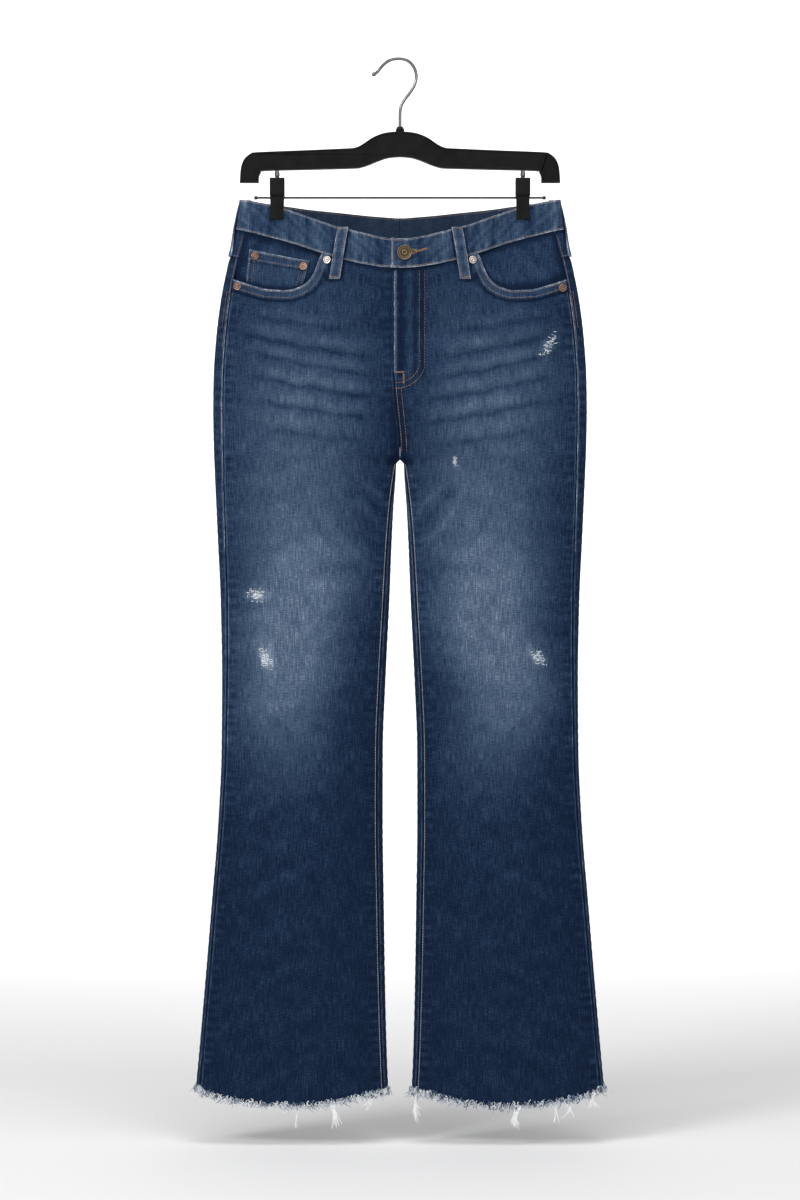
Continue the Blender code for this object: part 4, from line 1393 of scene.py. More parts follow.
@dataclass
class Yarns:
    """Many short lengths of thread, gathered and then made into one mesh.

    Args:
        name: the piece's name.
        radius: the yarn's radius in millimetres.
        sides: 0 for four-sided yarns, 1 for six-sided ones.
    """

    name: str
    radius: float
    sides: int = 0
    runs: list[Array] = field(default_factory=list)
    tapers: list[Array] = field(default_factory=list)

    def add(self, points: Array, taper: Array) -> None:
        """Adds a length of yarn through points in metres, with its thickness at each."""
        self.runs.append(points)
        self.tapers.append(taper)

    def build(self, material: bpy.types.Material, slot: Slot) -> bpy.types.Object:
        """Makes the yarns one mesh piece.

        Args:
            material: the finish.
            slot: not used.

        Returns:
            The piece's object.
        """
        curve = bpy.data.curves.new(f"{self.name}_lines", "CURVE")
        curve.dimensions = "3D"
        curve.bevel_depth = self.radius * MM
        curve.bevel_resolution = self.sides
        curve.use_fill_caps = True
        for points, taper in zip(self.runs, self.tapers):
            line = curve.splines.new("POLY")
            line.points.add(len(points) - 1)
            line.points.foreach_set("co", np.column_stack((points, np.ones(len(points)))).ravel())
            line.points.foreach_set("radius", taper)
        holder = linked(f"{self.name}_lines", curve)
        shaped = holder.evaluated_get(bpy.context.evaluated_depsgraph_get())
        mesh = bpy.data.meshes.new_from_object(shaped)
        bpy.data.objects.remove(holder)
        bm = bmesh.new()
        bm.from_mesh(mesh)
        bmesh.ops.recalc_face_normals(bm, faces=bm.faces[:])
        bm.to_mesh(mesh)
        bm.free()
        return finished(self.name, mesh, material)


@dataclass(frozen=True)
class Tuft:
    """A long bundle of white threads under a hem: where it hangs, how low, how wide and how many threads."""

    side: Side
    x: float
    low: float
    width: float
    count: int


TUFTS = (
    Tuft(Side.RIGHT, 83.0, -1346.0, 5.4, 26), Tuft(Side.RIGHT, 130.0, -1346.0, 0.8, 2),
    Tuft(Side.RIGHT, 40.0, -1327.0, 6.0, 10), Tuft(Side.RIGHT, 190.0, -1324.0, 9.0, 10),
    Tuft(Side.RIGHT, 146.0, -1327.0, 5.0, 8), Tuft(Side.LEFT, 21.0, -1342.0, 4.2, 14),
    Tuft(Side.LEFT, 146.0, -1347.0, 5.6, 18), Tuft(Side.LEFT, 198.0, -1346.0, 1.0, 3),
    Tuft(Side.LEFT, 212.0, -1336.0, 3.0, 7), Tuft(Side.LEFT, 242.0, -1322.0, 8.0, 12),
)


@dataclass
class Fray:
    """The raw hems: a soft edge of blue and white threads, loose weft along it and a few long tufts."""

    blue: bpy.types.Material
    white: bpy.types.Material
    bleached: bpy.types.Material
    threads: int = 1240
    loose: int = 440
    wefts: int = 220
    curls: int = 380
    seed: int = 31

    def build(self) -> None:
        """Frays both hems."""
        for half in HALVES.values():
            dice = np.random.default_rng(self.seed + half.side)
            self.edge(half, dice)

    @staticmethod
    def root(half: Half, turn: float, drop: float, lift: float) -> Array:
        """Where a thread leaves the hem, in metres.

        Args:
            half: the half of the garment.
            turn: angle round the hem.
            drop: how far under the hem's edge.
            lift: where in the wall it starts.

        Returns:
            The point.
        """
        z = HEM_GUESS
        for _ in range(3):
            x, _y, _behind = half.around(np.array(turn), np.array(z))
            z = float(HEM_LINE(abs(float(x)))) - drop
        return half.placed(*half.around(np.array(turn), np.array(z))[:2], np.array(z), lift)

    def curl(self, half: Half, turn: float, dice: np.random.Generator) -> tuple[Array, Array]:
        """A thick bundle of threads that curls over the edge: its points and its thickness at each.

        Args:
            half: the half of the garment.
            turn: angle round the hem.
            dice: random numbers.

        Returns:
            Its points in metres and its thickness at each.
        """
        root = self.root(half, turn, dice.uniform(-6.5, 0.5), dice.uniform(0.2, 1.0))
        angle = np.linspace(0.0, dice.uniform(2.2, 5.2), 9) * dice.choice((-1, 1))
        radius = dice.uniform(1.1, 2.7)
        side = radius * np.sin(angle) + angle * dice.normal(0.0, 0.35)
        fall = 0.8 * radius * (np.cos(angle) - 1) - np.abs(angle) * dice.uniform(0.2, 1.0)
        forth = dice.normal(0.0, 0.25, 9)
        points = root + np.stack((side, forth, fall), axis=-1) * MM
        return points, np.array([0.6, 0.9, 1, 1, 1, 1, 0.95, 0.85, 0.4]) * dice.uniform(1.2, 2.6)

    def strand(
        self, half: Half, turn: float, drop: float, length: float, lift: float, dice: np.random.Generator,
        curl: float,
    ) -> tuple[Array, Array]:
        """One thread from the hem.

        Args:
            half: its half.
            turn: angle round the hem.
            drop: how far under the hem's edge it starts.
            length: its length.
            lift: where in the wall it starts.
            dice: random numbers.
            curl: how far it bends away.

        Returns:
            Its points in metres and its thickness at each.
        """
        root = self.root(half, turn, drop, lift)
        t = np.linspace(0.0, 1.0, 6)
        lean = np.clip(dice.normal(0.0, curl, 2), -1.2, 1.2) * (0.5, 0.3)
        bend = np.clip(dice.normal(0.0, curl, 2), -1.2, 1.2) * (0.6, 0.3)
        side = lean[0] * t + bend[0] * t * t
        forth = lean[1] * t + bend[1] * t * t
        fall = -t * (1 - 0.25 * min(abs(bend[0]), 1.2) * t)
        points = root + np.stack((side, forth, fall), axis=-1) * length * MM
        points[:, 2] = np.maximum(points[:, 2], -1.3505)
        return points, np.array([1.0, 1.0, 0.95, 0.85, 0.7, 0.4])

    def edge(self, half: Half, dice: np.random.Generator) -> None:
        """Frays one hem.

        Args:
            half: the half of the garment.
            dice: random numbers.
        """
        word = half.side.word
        blue, white = Yarns(f"fray_blue_{word}", 0.3), Yarns(f"fray_white_{word}", 0.26)
        turns = np.sort(dice.uniform(0.0, math.tau, self.threads))
        for turn in turns:
            clump = 0.75 + 0.35 * float(wobble(turn * 120, 17, 7.3, 41, phase=float(half.side)))
            length = dice.uniform(4.5, 10.0) * clump
            yarns = blue if dice.random() < 0.5 else white
            drop, lift = dice.uniform(-4.5, 0.6), dice.uniform(-1.2, 0.7)
            yarns.add(*self.strand(half, turn, drop, length, lift, dice, 0.6))
        for turn in dice.uniform(0.0, math.tau, self.loose):
            yarns = blue if dice.random() < 0.3 else white
            length = dice.uniform(6.0, 12.0)
            drop, lift = dice.uniform(-5.0, 0.0), dice.uniform(0.0, 0.9)
            yarns.add(*self.strand(half, turn, drop, length, lift, dice, 1.1))
        for turn in dice.uniform(0.0, math.tau, self.wefts):
            self.weft(half, white if dice.random() < 0.7 else blue, turn, dice)
        for turn in dice.uniform(0.0, math.tau, self.curls):
            if dice.random() > 0.7 + 0.6 * float(wobble(turn * 60, 23, 9.1, phase=float(half.side))):
                continue
            yarns = blue if dice.random() < 0.45 else white
            yarns.add(*self.curl(half, turn, dice))
        loose = Yarns(f"fray_tufts_{word}", 0.3)
        for tuft in TUFTS:
            if tuft.side == half.side:
                self.tuft(half, loose, tuft, dice)
        loose.build(self.bleached, Slot.FRAY)
        blue.build(self.blue, Slot.FRAY)
        piece = white.build(self.white, Slot.FRAY)
        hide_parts(f"fray_{word}")

    def weft(self, half: Half, yarns: Yarns, turn: float, dice: np.random.Generator) -> None:
        """A loose weft thread that runs along the edge and hangs from it in a shallow bow.

        Args:
            half: the half of the garment.
            yarns: the piece that the threads go into.
            turn: angle where it starts.
            dice: random numbers.
        """
        count = 9
        rise = dice.uniform(-1.0, 4.0)
        reach = dice.uniform(0.04, 0.14)
        turns = np.linspace(turn, turn + reach, count)
        sag = dice.uniform(1.0, 4.5) * np.sin(np.linspace(0, math.pi, count)) + dice.normal(0, 0.4, count)
        z = np.full(count, HEM_GUESS)
        for _ in range(3):
            x, y, _behind = half.around(turns, z)
            z = HEM_LINE(np.abs(x)) + rise - np.abs(sag)
        lift = dice.uniform(-1.0, 0.8) + dice.normal(0, 0.25, count)
        yarns.add(half.placed(x, y, z, lift), np.full(count, 0.85))

    def tuft(self, half: Half, yarns: Yarns, tuft: Tuft, dice: np.random.Generator) -> None:
        """A long bundle of threads that twist together and part at their ends.

        Args:
            half: the half of the garment.
            yarns: the piece that the threads go into.
            tuft: the bundle's place and size.
            dice: random numbers.
        """
        start = float(HEM_LINE(tuft.x)) - 2.0
        for _ in range(tuft.count):
            t = np.linspace(0.0, 1.0, 9)
            side = dice.normal(0, tuft.width * 0.5)
            low = start + (tuft.low - start) * dice.uniform(0.5, 1.0)
            stray = dice.normal(0, 2.6) * t**3 + dice.normal(0, 0.9) * np.sin(5 * t + dice.uniform(0, 6))
            x = tuft.x + side * (1 - 0.6 * np.sin(math.pi * t)) + stray + 2.2 * np.sin(4 * t + tuft.x)
            z = mix(start + 3.0, low, t)
            y = half.depth(np.full(9, tuft.x), np.full(9, start), Face.FRONT) + 0.6 + dice.normal(0, 0.5, 9)
            points = np.stack((x * half.side, y, z), axis=-1) * MM
            yarns.add(points, np.array([1, 1, 1, 1, 1, 0.95, 0.85, 0.7, 0.4]) * 2.1)


@dataclass(frozen=True)
class Abrasion:
    """A worn spot where white weft threads show: where it is, its half sizes and how many threads."""

    side: Side
    x: float
    z: float
    wide: float
    high: float
    count: int
    lean: float


ABRASIONS = (
    Abrasion(Side.RIGHT, 180.5, -674.6, 13.0, 8.5, 58, 0.25),
    Abrasion(Side.RIGHT, 169.0, -754.0, 8.0, 14.0, 62, 0.35),
    Abrasion(Side.LEFT, 174.0, -753.0, 10.0, 10.0, 44, -0.5),
    Abrasion(Side.LEFT, 186.8, -360.0, 8.0, 16.0, 54, 0.5),
    Abrasion(Side.LEFT, 69.4, -508.0, 3.0, 11.0, 16, -0.2),
)


def abrasion_at(half: Half, x: Array, z: Array) -> Array:
    """How far the cloth is bared at places on a front, from 0 to 1.

    Args:
        half: the half of the garment.
        x: distances from the middle.
        z: heights.

    Returns:
        The bareness at each place.
    """
    bare = np.zeros_like(x)
    for spot in ABRASIONS:
        if spot.side == half.side:
            across = (x - spot.x - spot.lean * (z - spot.z)) / spot.wide
            bare = np.maximum(bare, np.exp(-(across ** 2) - ((z - spot.z) / spot.high) ** 2))
    return bare


@dataclass
class WornSpots:
    """The loose white weft threads of the worn spots."""

    white: bpy.types.Material
    seed: int = 5

    def build(self) -> None:
        """Lays the threads of every spot, one piece for each half."""
        for half in HALVES.values():
            dice = np.random.default_rng(self.seed + half.side)
            yarns = Yarns(f"worn_threads_{half.side.word}", 0.3)
            for spot in ABRASIONS:
                if spot.side == half.side:
                    self.lay(half, yarns, spot, dice)
            yarns.build(self.white, Slot.FRAY)

    @staticmethod
    def lay(half: Half, yarns: Yarns, spot: Abrasion, dice: np.random.Generator) -> None:
        """Lays the threads of one spot, most of them across and a few frayed ends up and down.

        Args:
            half: the half of the garment.
            yarns: the piece that the threads go into.
            spot: the worn spot.
            dice: random numbers.
        """
        for i in range(spot.count):
            across, down = np.clip(dice.normal(0, 0.42, 2), -1, 1)
            x0 = spot.x + across * spot.wide + spot.lean * down * spot.high
            z0 = spot.z + down * spot.high
            upright = i % 4 == 3
            reach = dice.uniform(1.6, 5.2) * (0.7 if upright else 1.0)
            t = np.linspace(-0.5, 0.5, 5)
            way = dice.normal(1.4, 0.5) if upright else dice.normal(0.0, 0.3)
            x = x0 + np.cos(way) * t * reach + dice.normal(0, 0.25, 5)
            z = z0 + np.sin(way) * t * reach + dice.normal(0, 0.22, 5)
            lift = 0.25 + 0.5 * np.abs(dice.normal(0, 0.8)) * (0.25 - t * t) * 4 + dice.uniform(0, 0.5)
            yarns.add(half.on_face(x, z, Face.FRONT, lift), np.array([0.35, 0.9, 1.0, 0.9, 0.35]))


def half_rise(half: Half, z: Array) -> Array:
    """Where the centre front seam lies above the crotch, in the half's own x."""
    return np.maximum(-half.side * FLY_EDGE * ease(CROTCH_Z + 8, FLY_BOTTOM, z), INNER(z))


@dataclass
class Sewing:
    """All the topstitching, a row of raised stitches along each seam.

    Args:
        tan: finish of the golden-tan thread.
        pale: finish of the thread that has bleached.
        pitch: length of a stitch with its gap.
    """

    tan: bpy.types.Material
    pale: bpy.types.Material
    pitch: float = 3.3
    length: float = 2.7
    radius: float = 0.34
    stand: float = 0.3

    def line(
        self, yarns: Yarns, half: Half, x: Array | float, z: Array | float, face: Face, lift: Array | float
    ) -> None:
        """Sews a row of stitches along a line drawn on a face.

        Args:
            yarns: the piece that they go into.
            half: the half of the garment.
            x: distances from the middle of points along the line, in millimetres.
            z: their heights.
            face: the face that it is on.
            lift: height of the cloth's surface there.
        """
        x, z = np.broadcast_arrays(np.asarray(x, float), np.asarray(z, float))
        turn = half.turn_at(x, z)
        self.ring_line(yarns, half, math.tau - turn if face == Face.BACK else turn, z, lift)

    def ring_line(
        self, yarns: Yarns, half: Half, turn: Array, z: Array, lift: Array | float, facing: float = 1.0
    ) -> None:
        """Sews a row along places given by angle and height; facing -1 is the cloth's inner side.

        Args:
            yarns: the piece that the threads go into.
            half: the half of the garment.
            turn: angles round the ring.
            z: heights.
            lift: height of the cloth's surface there.
            facing: 1 on the outer side, -1 on the inner.
        """
        lift = np.broadcast_to(np.asarray(lift, float), z.shape)
        x, y, _behind = half.around(turn, z)
        steps = np.sqrt(np.diff(x) ** 2 + np.diff(y) ** 2 + np.diff(z) ** 2)
        along = np.concatenate(([0.0], np.cumsum(steps)))
        count = int(along[-1] // self.pitch)
        if count < 1:
            return
        starts = (np.arange(count) + 0.5) * along[-1] / count - self.length / 2
        shares = np.array([0.0, 0.2, 0.5, 0.8, 1.0])
        at = starts[:, None] + shares * self.length
        turns, heights = np.interp(at, along, turn), np.interp(at, along, z)
        lifts = np.interp(at, along, lift)
        arch = np.array([-0.35, 0.7, 1.0, 0.7, -0.35]) * self.stand * facing
        xs, ys, _behind = half.around(turns, heights)
        flat = half.placed(xs.ravel(), ys.ravel(), heights.ravel(), (lifts + arch).ravel())
        taper = np.array([0.5, 0.95, 1.0, 0.95, 0.5])
        for points in flat.reshape(count, len(shares), 3):
            yarns.add(points, taper)

    def tack(
        self, yarns: Yarns, half: Half, start: Row, end: Row, wide: float, face: Face, lift: float
    ) -> None:
        """Sews a bartack, a bar of close zigzag stitches between two points.

        Args:
            yarns: the piece that the threads go into.
            half: the half of the garment.
            start: where the bar starts.
            end: where it ends.
            wide: its width.
            face: the front or the back.
            lift: height of the cloth's surface there.
        """
        a, b = np.array(start), np.array(end)
        way = (b - a) / np.linalg.norm(b - a)
        across = np.array([-way[1], way[0]]) * wide / 2
        count = int(np.linalg.norm(b - a) / 0.75)
        for i in range(count):
            middle = a + (b - a) * (i + 0.5) / count
            slant = way * 0.3
            ends = np.stack((middle - across - slant, middle, middle + across + slant))
            lifts = np.array([lift - 0.1, lift + 0.35, lift - 0.1])
            points = half.on_face(ends[:, 0], ends[:, 1], face, lifts)
            yarns.add(points, np.array([0.8, 1.0, 0.8]))

    def build(self) -> None:
        """Sews every seam."""
        for half in HALVES.values():
            self.leg_seams(half)
            self.waist(half)
            self.hip_pocket(half)
            self.back_pocket(half)
            self.yoke(half)
            self.loops(half)
        self.fly()
        self.coin_pocket()
        self.buttonhole()

    def leg_seams(self, half: Half) -> None:
        """Sews the inseam and the upper outseam.

        Args:
            half: the half of the garment.
        """
        word = half.side.word
        inner = Yarns(f"stitches_inseam_{word}", self.radius)
        z = np.linspace(CROTCH_Z - 4, -1312.0, 500)
        self.line(inner, half, INNER(z) + INSEAM(z) + 2.0, z, Face.FRONT, 0.1)
        inner.build(self.pale, Slot.FRAY)
        outer = Yarns(f"stitches_outseam_{word}", self.radius)
        for inset, low in ((2.4, -362.0), (5.6, -338.0)):
            z = np.linspace(-292.0, low, 90)
            self.line(outer, half, OUTER(z) - OUTSEAM(z) + inset, z, Face.FRONT, 0.1)
        z = np.linspace(-222.0, -292.0, 60)
        self.line(outer, half, OUTER(z) - OUTSEAM(z) + 2.4, z, Face.FRONT, 0.1)
        outer.build(self.tan, Slot.FRAY)

    def waist(self, half: Half) -> None:
        """Sews both edges of the waistband, all the way round the half.

        Args:
            half: the half of the garment.
        """
        yarns = Yarns(f"stitches_waistband_{half.side.word}", self.radius)
        first = 12.0 if half.side == Side.RIGHT else 2.0 - BAND_END[half.side]
        for table, inset in ((BAND_TOP, -2.2), (WAIST_SEAM, 2.2)):
            front, back = (np.stack(Waistband.edge_run(half, face, table, inset, first)) for face in Face)
            self.ring_line(yarns, half, *np.concatenate((front, back), axis=1))
            self.ring_line(yarns, half, back[0], back[1], BAND_IN, -1.0)
        if half.side == Side.LEFT:
            z = np.linspace(-230.5, -262.0, 30)
            self.line(yarns, half, first, z, Face.FRONT, BAND_OUT + BAND_LAP)
        yarns.build(self.tan, Slot.FRAY)

    def hip_pocket(self, half: Half) -> None:
        """Sews the two rows that hold the folded edge of a hip pocket.

        Args:
            half: the half of the garment.
        """
        yarns = Yarns(f"stitches_hip_pocket_{half.side.word}", self.radius)
        edge = SCOOP_POINTS[SCOOP_POINTS[:, 0] < 208]
        way = np.gradient(edge, axis=0)
        way /= np.linalg.norm(way, axis=1, keepdims=True)
        under = np.column_stack((way[:, 1], -way[:, 0]))
        for inset in (2.4, 9.2):
            spots = edge + under * inset
            keep = (spots[:, 1] < WAIST_SEAM[Face.FRONT](spots[:, 0]) - 2) & (spots[:, 0] < 208)
            self.line(yarns, half, *spots[keep].T, Face.FRONT, 0.9)
        yarns.build(self.tan, Slot.FRAY)

    def back_pocket(self, half: Half) -> None:
        """Sews a back pocket's hem and two rows round its sides.

        Args:
            half: the half of the garment.
        """
        yarns = Yarns(f"stitches_back_pocket_{half.side.word}", self.radius)
        lift = 0.8 + DENIM
        for inset in (0.05, 0.14):
            side = np.linspace(0.015, 1 - inset, 70)
            under = np.linspace(-(1 - inset), 1 - inset, 90)
            for across, down in ((inset - 1, side), (under, 1 - inset * 0.45), (1 - inset, side[::-1])):
                self.line(yarns, half, *Pockets.patch_spot(across, down), Face.BACK, lift)
        for down in (0.015, 0.1):
            across = np.linspace(-0.95, 0.95, 90)
            self.line(yarns, half, *Pockets.patch_spot(across, down), Face.BACK, lift + 0.2)
        for across in (-0.93, 0.93):
            a, b = Pockets.patch_spot(np.array([across, across]), np.array([0.02, 0.09]))
            self.tack(yarns, half, (a[0], b[0]), (a[1], b[1]), 2.4, Face.BACK, lift + 0.2)
        yarns.build(self.tan, Slot.FRAY)

    def yoke(self, half: Half) -> None:
        """Sews the two rows of the yoke seam and of the centre back seam.

        Args:
            half: the half of the garment.
        """
        yarns = Yarns(f"stitches_yoke_{half.side.word}", self.radius)
        for inset in (2.0, 8.0):
            x = np.linspace(1.0, 214.0, 300)
            z = YOKE_LINE(x) + inset
            x = np.minimum(x, OUTER(z) - 0.5)
            self.line(yarns, half, x, z, Face.BACK, 0.15)
        if half.side == Side.LEFT:
            for inset in (2.0, 8.0):
                z = np.linspace(-238.0, -494.0, 300)
                self.line(yarns, half, inset, z, Face.BACK, 0.15)
        yarns.build(self.tan, Slot.FRAY)

    def loops(self, half: Half) -> None:
        """Sews the two rows of each belt loop and the bartacks at its ends.

        Args:
            half: the half of the garment.
        """
        yarns = Yarns(f"stitches_belt_loops_{half.side.word}", self.radius * 0.9)
        band = Waistband(self.tan)
        down = np.linspace(0.05, 0.95, 40)
        lift = band.stand(down) + band.loop_thick
        for ((x0, z0), (x1, z1)), face in band.straight_loops(half.side):
            for across in (-4.2, 4.2):
                self.line(yarns, half, mix(x0, x1, down) + across, mix(z0, z1, down), face, lift)
            ends = ((0.03, band.loop_thick + 1.7), (0.965, band.loop_thick + 0.9))
            for share, high in ends:
                x, z = mix(x0, x1, share), mix(z0, z1, share)
                self.tack(yarns, half, (x - 5.6, z), (x + 5.6, z), 2.2, face, high)
        for across in (-0.62, 0.62):
            turn = math.pi + mix(0.25, 0.0, down) + across * mix(0.12, 0.19, down)
            self.ring_line(yarns, half, turn, mix(band.side_top, band.side_bottom, down), lift)
        yarns.build(self.tan, Slot.FRAY)

    def fly(self) -> None:
        """Sews the fly's curved double row, its edge, its bartacks and the seam below it."""
        half = HALVES[Side.LEFT]
        yarns = Yarns("stitches_fly", self.radius)
        for x0, sweep, low in ((24.2, 25.0, -408.5), (30.9, 31.5, -415.5)):
            z = np.linspace(-267.0, low + sweep, 70)
            turn = np.linspace(0.0, math.pi / 2, 40)[1:]
            x = np.concatenate((np.full(len(z), x0), x0 - sweep * 1.18 * (1 - np.cos(turn))))
            z = np.concatenate((z, low + sweep - sweep * np.sin(turn)))
            self.line(yarns, half, x, z, Face.FRONT, 0.2)
        z = np.linspace(-268.0, -398.0, 90)
        self.line(yarns, half, -5.0, z, Face.FRONT, 0.15)
        for inset in (2.2, 8.4):
            z = np.linspace(-414.0, -494.0, 70)
            x = half_rise(half, z) + inset
            self.line(yarns, half, x, z, Face.FRONT, 0.15)
        self.tack(yarns, half, (-5.8, -395.0), (5.6, -395.0), 2.2, Face.FRONT, 0.3)
        self.tack(yarns, half, (4.6, -397.0), (4.6, -409.5), 2.2, Face.FRONT, 0.3)
        yarns.build(self.tan, Slot.FRAY)

    def coin_pocket(self) -> None:
        """Sews the coin pocket's hem and sides."""
        half = HALVES[Side.RIGHT]
        yarns = Yarns("stitches_coin_pocket", self.radius * 0.9)
        t = np.linspace(0.03, 0.97, 60)
        for down in (0.045, 0.19):
            self.line(yarns, half, *Pockets.coin_spot(t, down), Face.FRONT, -0.35)
        for across in (0.03, 0.11, 0.89, 0.97):
            down = np.linspace(0.05, 0.8, 40)
            x, z = Pockets.coin_spot(across, down)
            keep = z > SCOOP_LINE(x) + 3
            self.line(yarns, half, x[keep], z[keep], Face.FRONT, -0.4)
        yarns.build(self.tan, Slot.FRAY)

    def buttonhole(self) -> None:
        """Sews the keyhole buttonhole whose end shows beside the button."""
        half = HALVES[Side.LEFT]
        yarns = Yarns("stitches_buttonhole", 0.42)
        lift = BAND_OUT + BAND_LAP
        self.tack(yarns, half, (13.5, -242.0), (21.5, -243.6), 3.0, Face.FRONT, lift)
        self.tack(yarns, half, (13.0, -247.4), (21.5, -244.8), 3.0, Face.FRONT, lift)
        self.tack(yarns, half, (20.5, -244.6), (34.5, -240.2), 2.8, Face.FRONT, lift - 0.2)
        yarns.build(self.tan, Slot.FRAY)


@dataclass
class WornEdges:
    """The folded edges whose dye has rubbed off, as fine rolled ridges along them.

    Args:
        ridge: lays the ridges, as long flat stitches that overlap.
    """

    ridge: Sewing

    def build(self) -> None:
        """Rubs every edge, one piece for each half."""
        for half in HALVES.values():
            yarns = Yarns(f"worn_edges_{half.side.word}", self.ridge.radius)
            self.band(yarns, half)
            self.seams(yarns, half)
            self.loops(yarns, half)
            yarns.build(self.ridge.pale, Slot.FRAY)

    def band(self, yarns: Yarns, half: Half) -> None:
        """Rubs the band's two edges and its lapped end.

        Args:
            yarns: the piece that the threads go into.
            half: the half of the garment.
        """
        first = 12.0 if half.side == Side.RIGHT else 0.6 - BAND_END[half.side]
        for face in Face:
            for table, inset in ((BAND_TOP, -0.5), (WAIST_SEAM, 0.7)):
                turn, z, lift = Waistband.edge_run(half, face, table, inset, first)
                self.ridge.ring_line(yarns, half, turn, z, lift - 0.3)
        if half.side == Side.LEFT:
            z = np.linspace(-227.0, -264.0, 30)
            for inset in (0.7, 1.5):
                x = inset - BAND_END[half.side]
                self.ridge.line(yarns, half, x, z, Face.FRONT, BAND_OUT + BAND_LAP - 0.3)

    def seams(self, yarns: Yarns, half: Half) -> None:
        """Rubs the hip pocket's edge, the side seam, the fly, the coin pocket and the yoke.

        Args:
            yarns: the piece that the threads go into.
            half: the half of the garment.
        """
        for inset in (0.3, 1.1):
            spots = SCOOP_POINTS[SCOOP_POINTS[:, 0] < 210] - (0.0, inset)
            self.ridge.line(yarns, half, *spots.T, Face.FRONT, 0.55)
        z = np.linspace(-296.0, -620.0, 200)
        self.ridge.line(yarns, half, OUTER(z) - OUTSEAM(z) + 1.0, z, Face.FRONT, -0.35)
        x = np.linspace(1.0, 214.0, 200)
        z = YOKE_LINE(x) + 0.9
        self.ridge.line(yarns, half, np.minimum(x, OUTER(z) - 0.5), z, Face.BACK, -0.3)
        top = Pockets.patch_spot(np.linspace(-0.98, 0.98, 90), 0.004)
        self.ridge.line(yarns, half, *top, Face.BACK, 0.5 + DENIM)
        if half.side == Side.LEFT:
            z = np.linspace(-268.0, -396.0, 90)
            for inset in (0.5, 1.4):
                self.ridge.line(yarns, half, inset - FLY_EDGE, z, Face.FRONT, -0.1)
        else:
            x, z = Pockets.coin_spot(np.linspace(0.01, 0.99, 60), 0.0)
            self.ridge.line(yarns, half, x, z - 0.5, Face.FRONT, -0.75)

    def loops(self, yarns: Yarns, half: Half) -> None:
        """Rubs both edges and the ends of each belt loop.

        Args:
            yarns: the piece that the threads go into.
            half: the half of the garment.
        """
        band = Waistband(self.ridge.pale)
        down = np.linspace(0.0, 1.0, 40)
        lift = band.stand(down) + band.loop_thick - 0.4
        for ((x0, z0), (x1, z1)), face in band.straight_loops(half.side):
            for across in (0.4 - band.loop_half, band.loop_half - 0.4):
                self.ridge.line(yarns, half, mix(x0, x1, down) + across, mix(z0, z1, down), face, lift)
            for at, high in ((0.008, lift[0]), (0.992, lift[-1])):
                ends = mix(x0, x1, at) + np.array([-6.2, 6.2])
                self.ridge.line(yarns, half, ends, mix(z0, z1, at), face, high)


SCOOP_X = np.linspace(SCOOP_START, 212.0, 90)
SCOOP_POINTS = np.stack((SCOOP_X, SCOOP_LINE(SCOOP_X)), axis=-1)


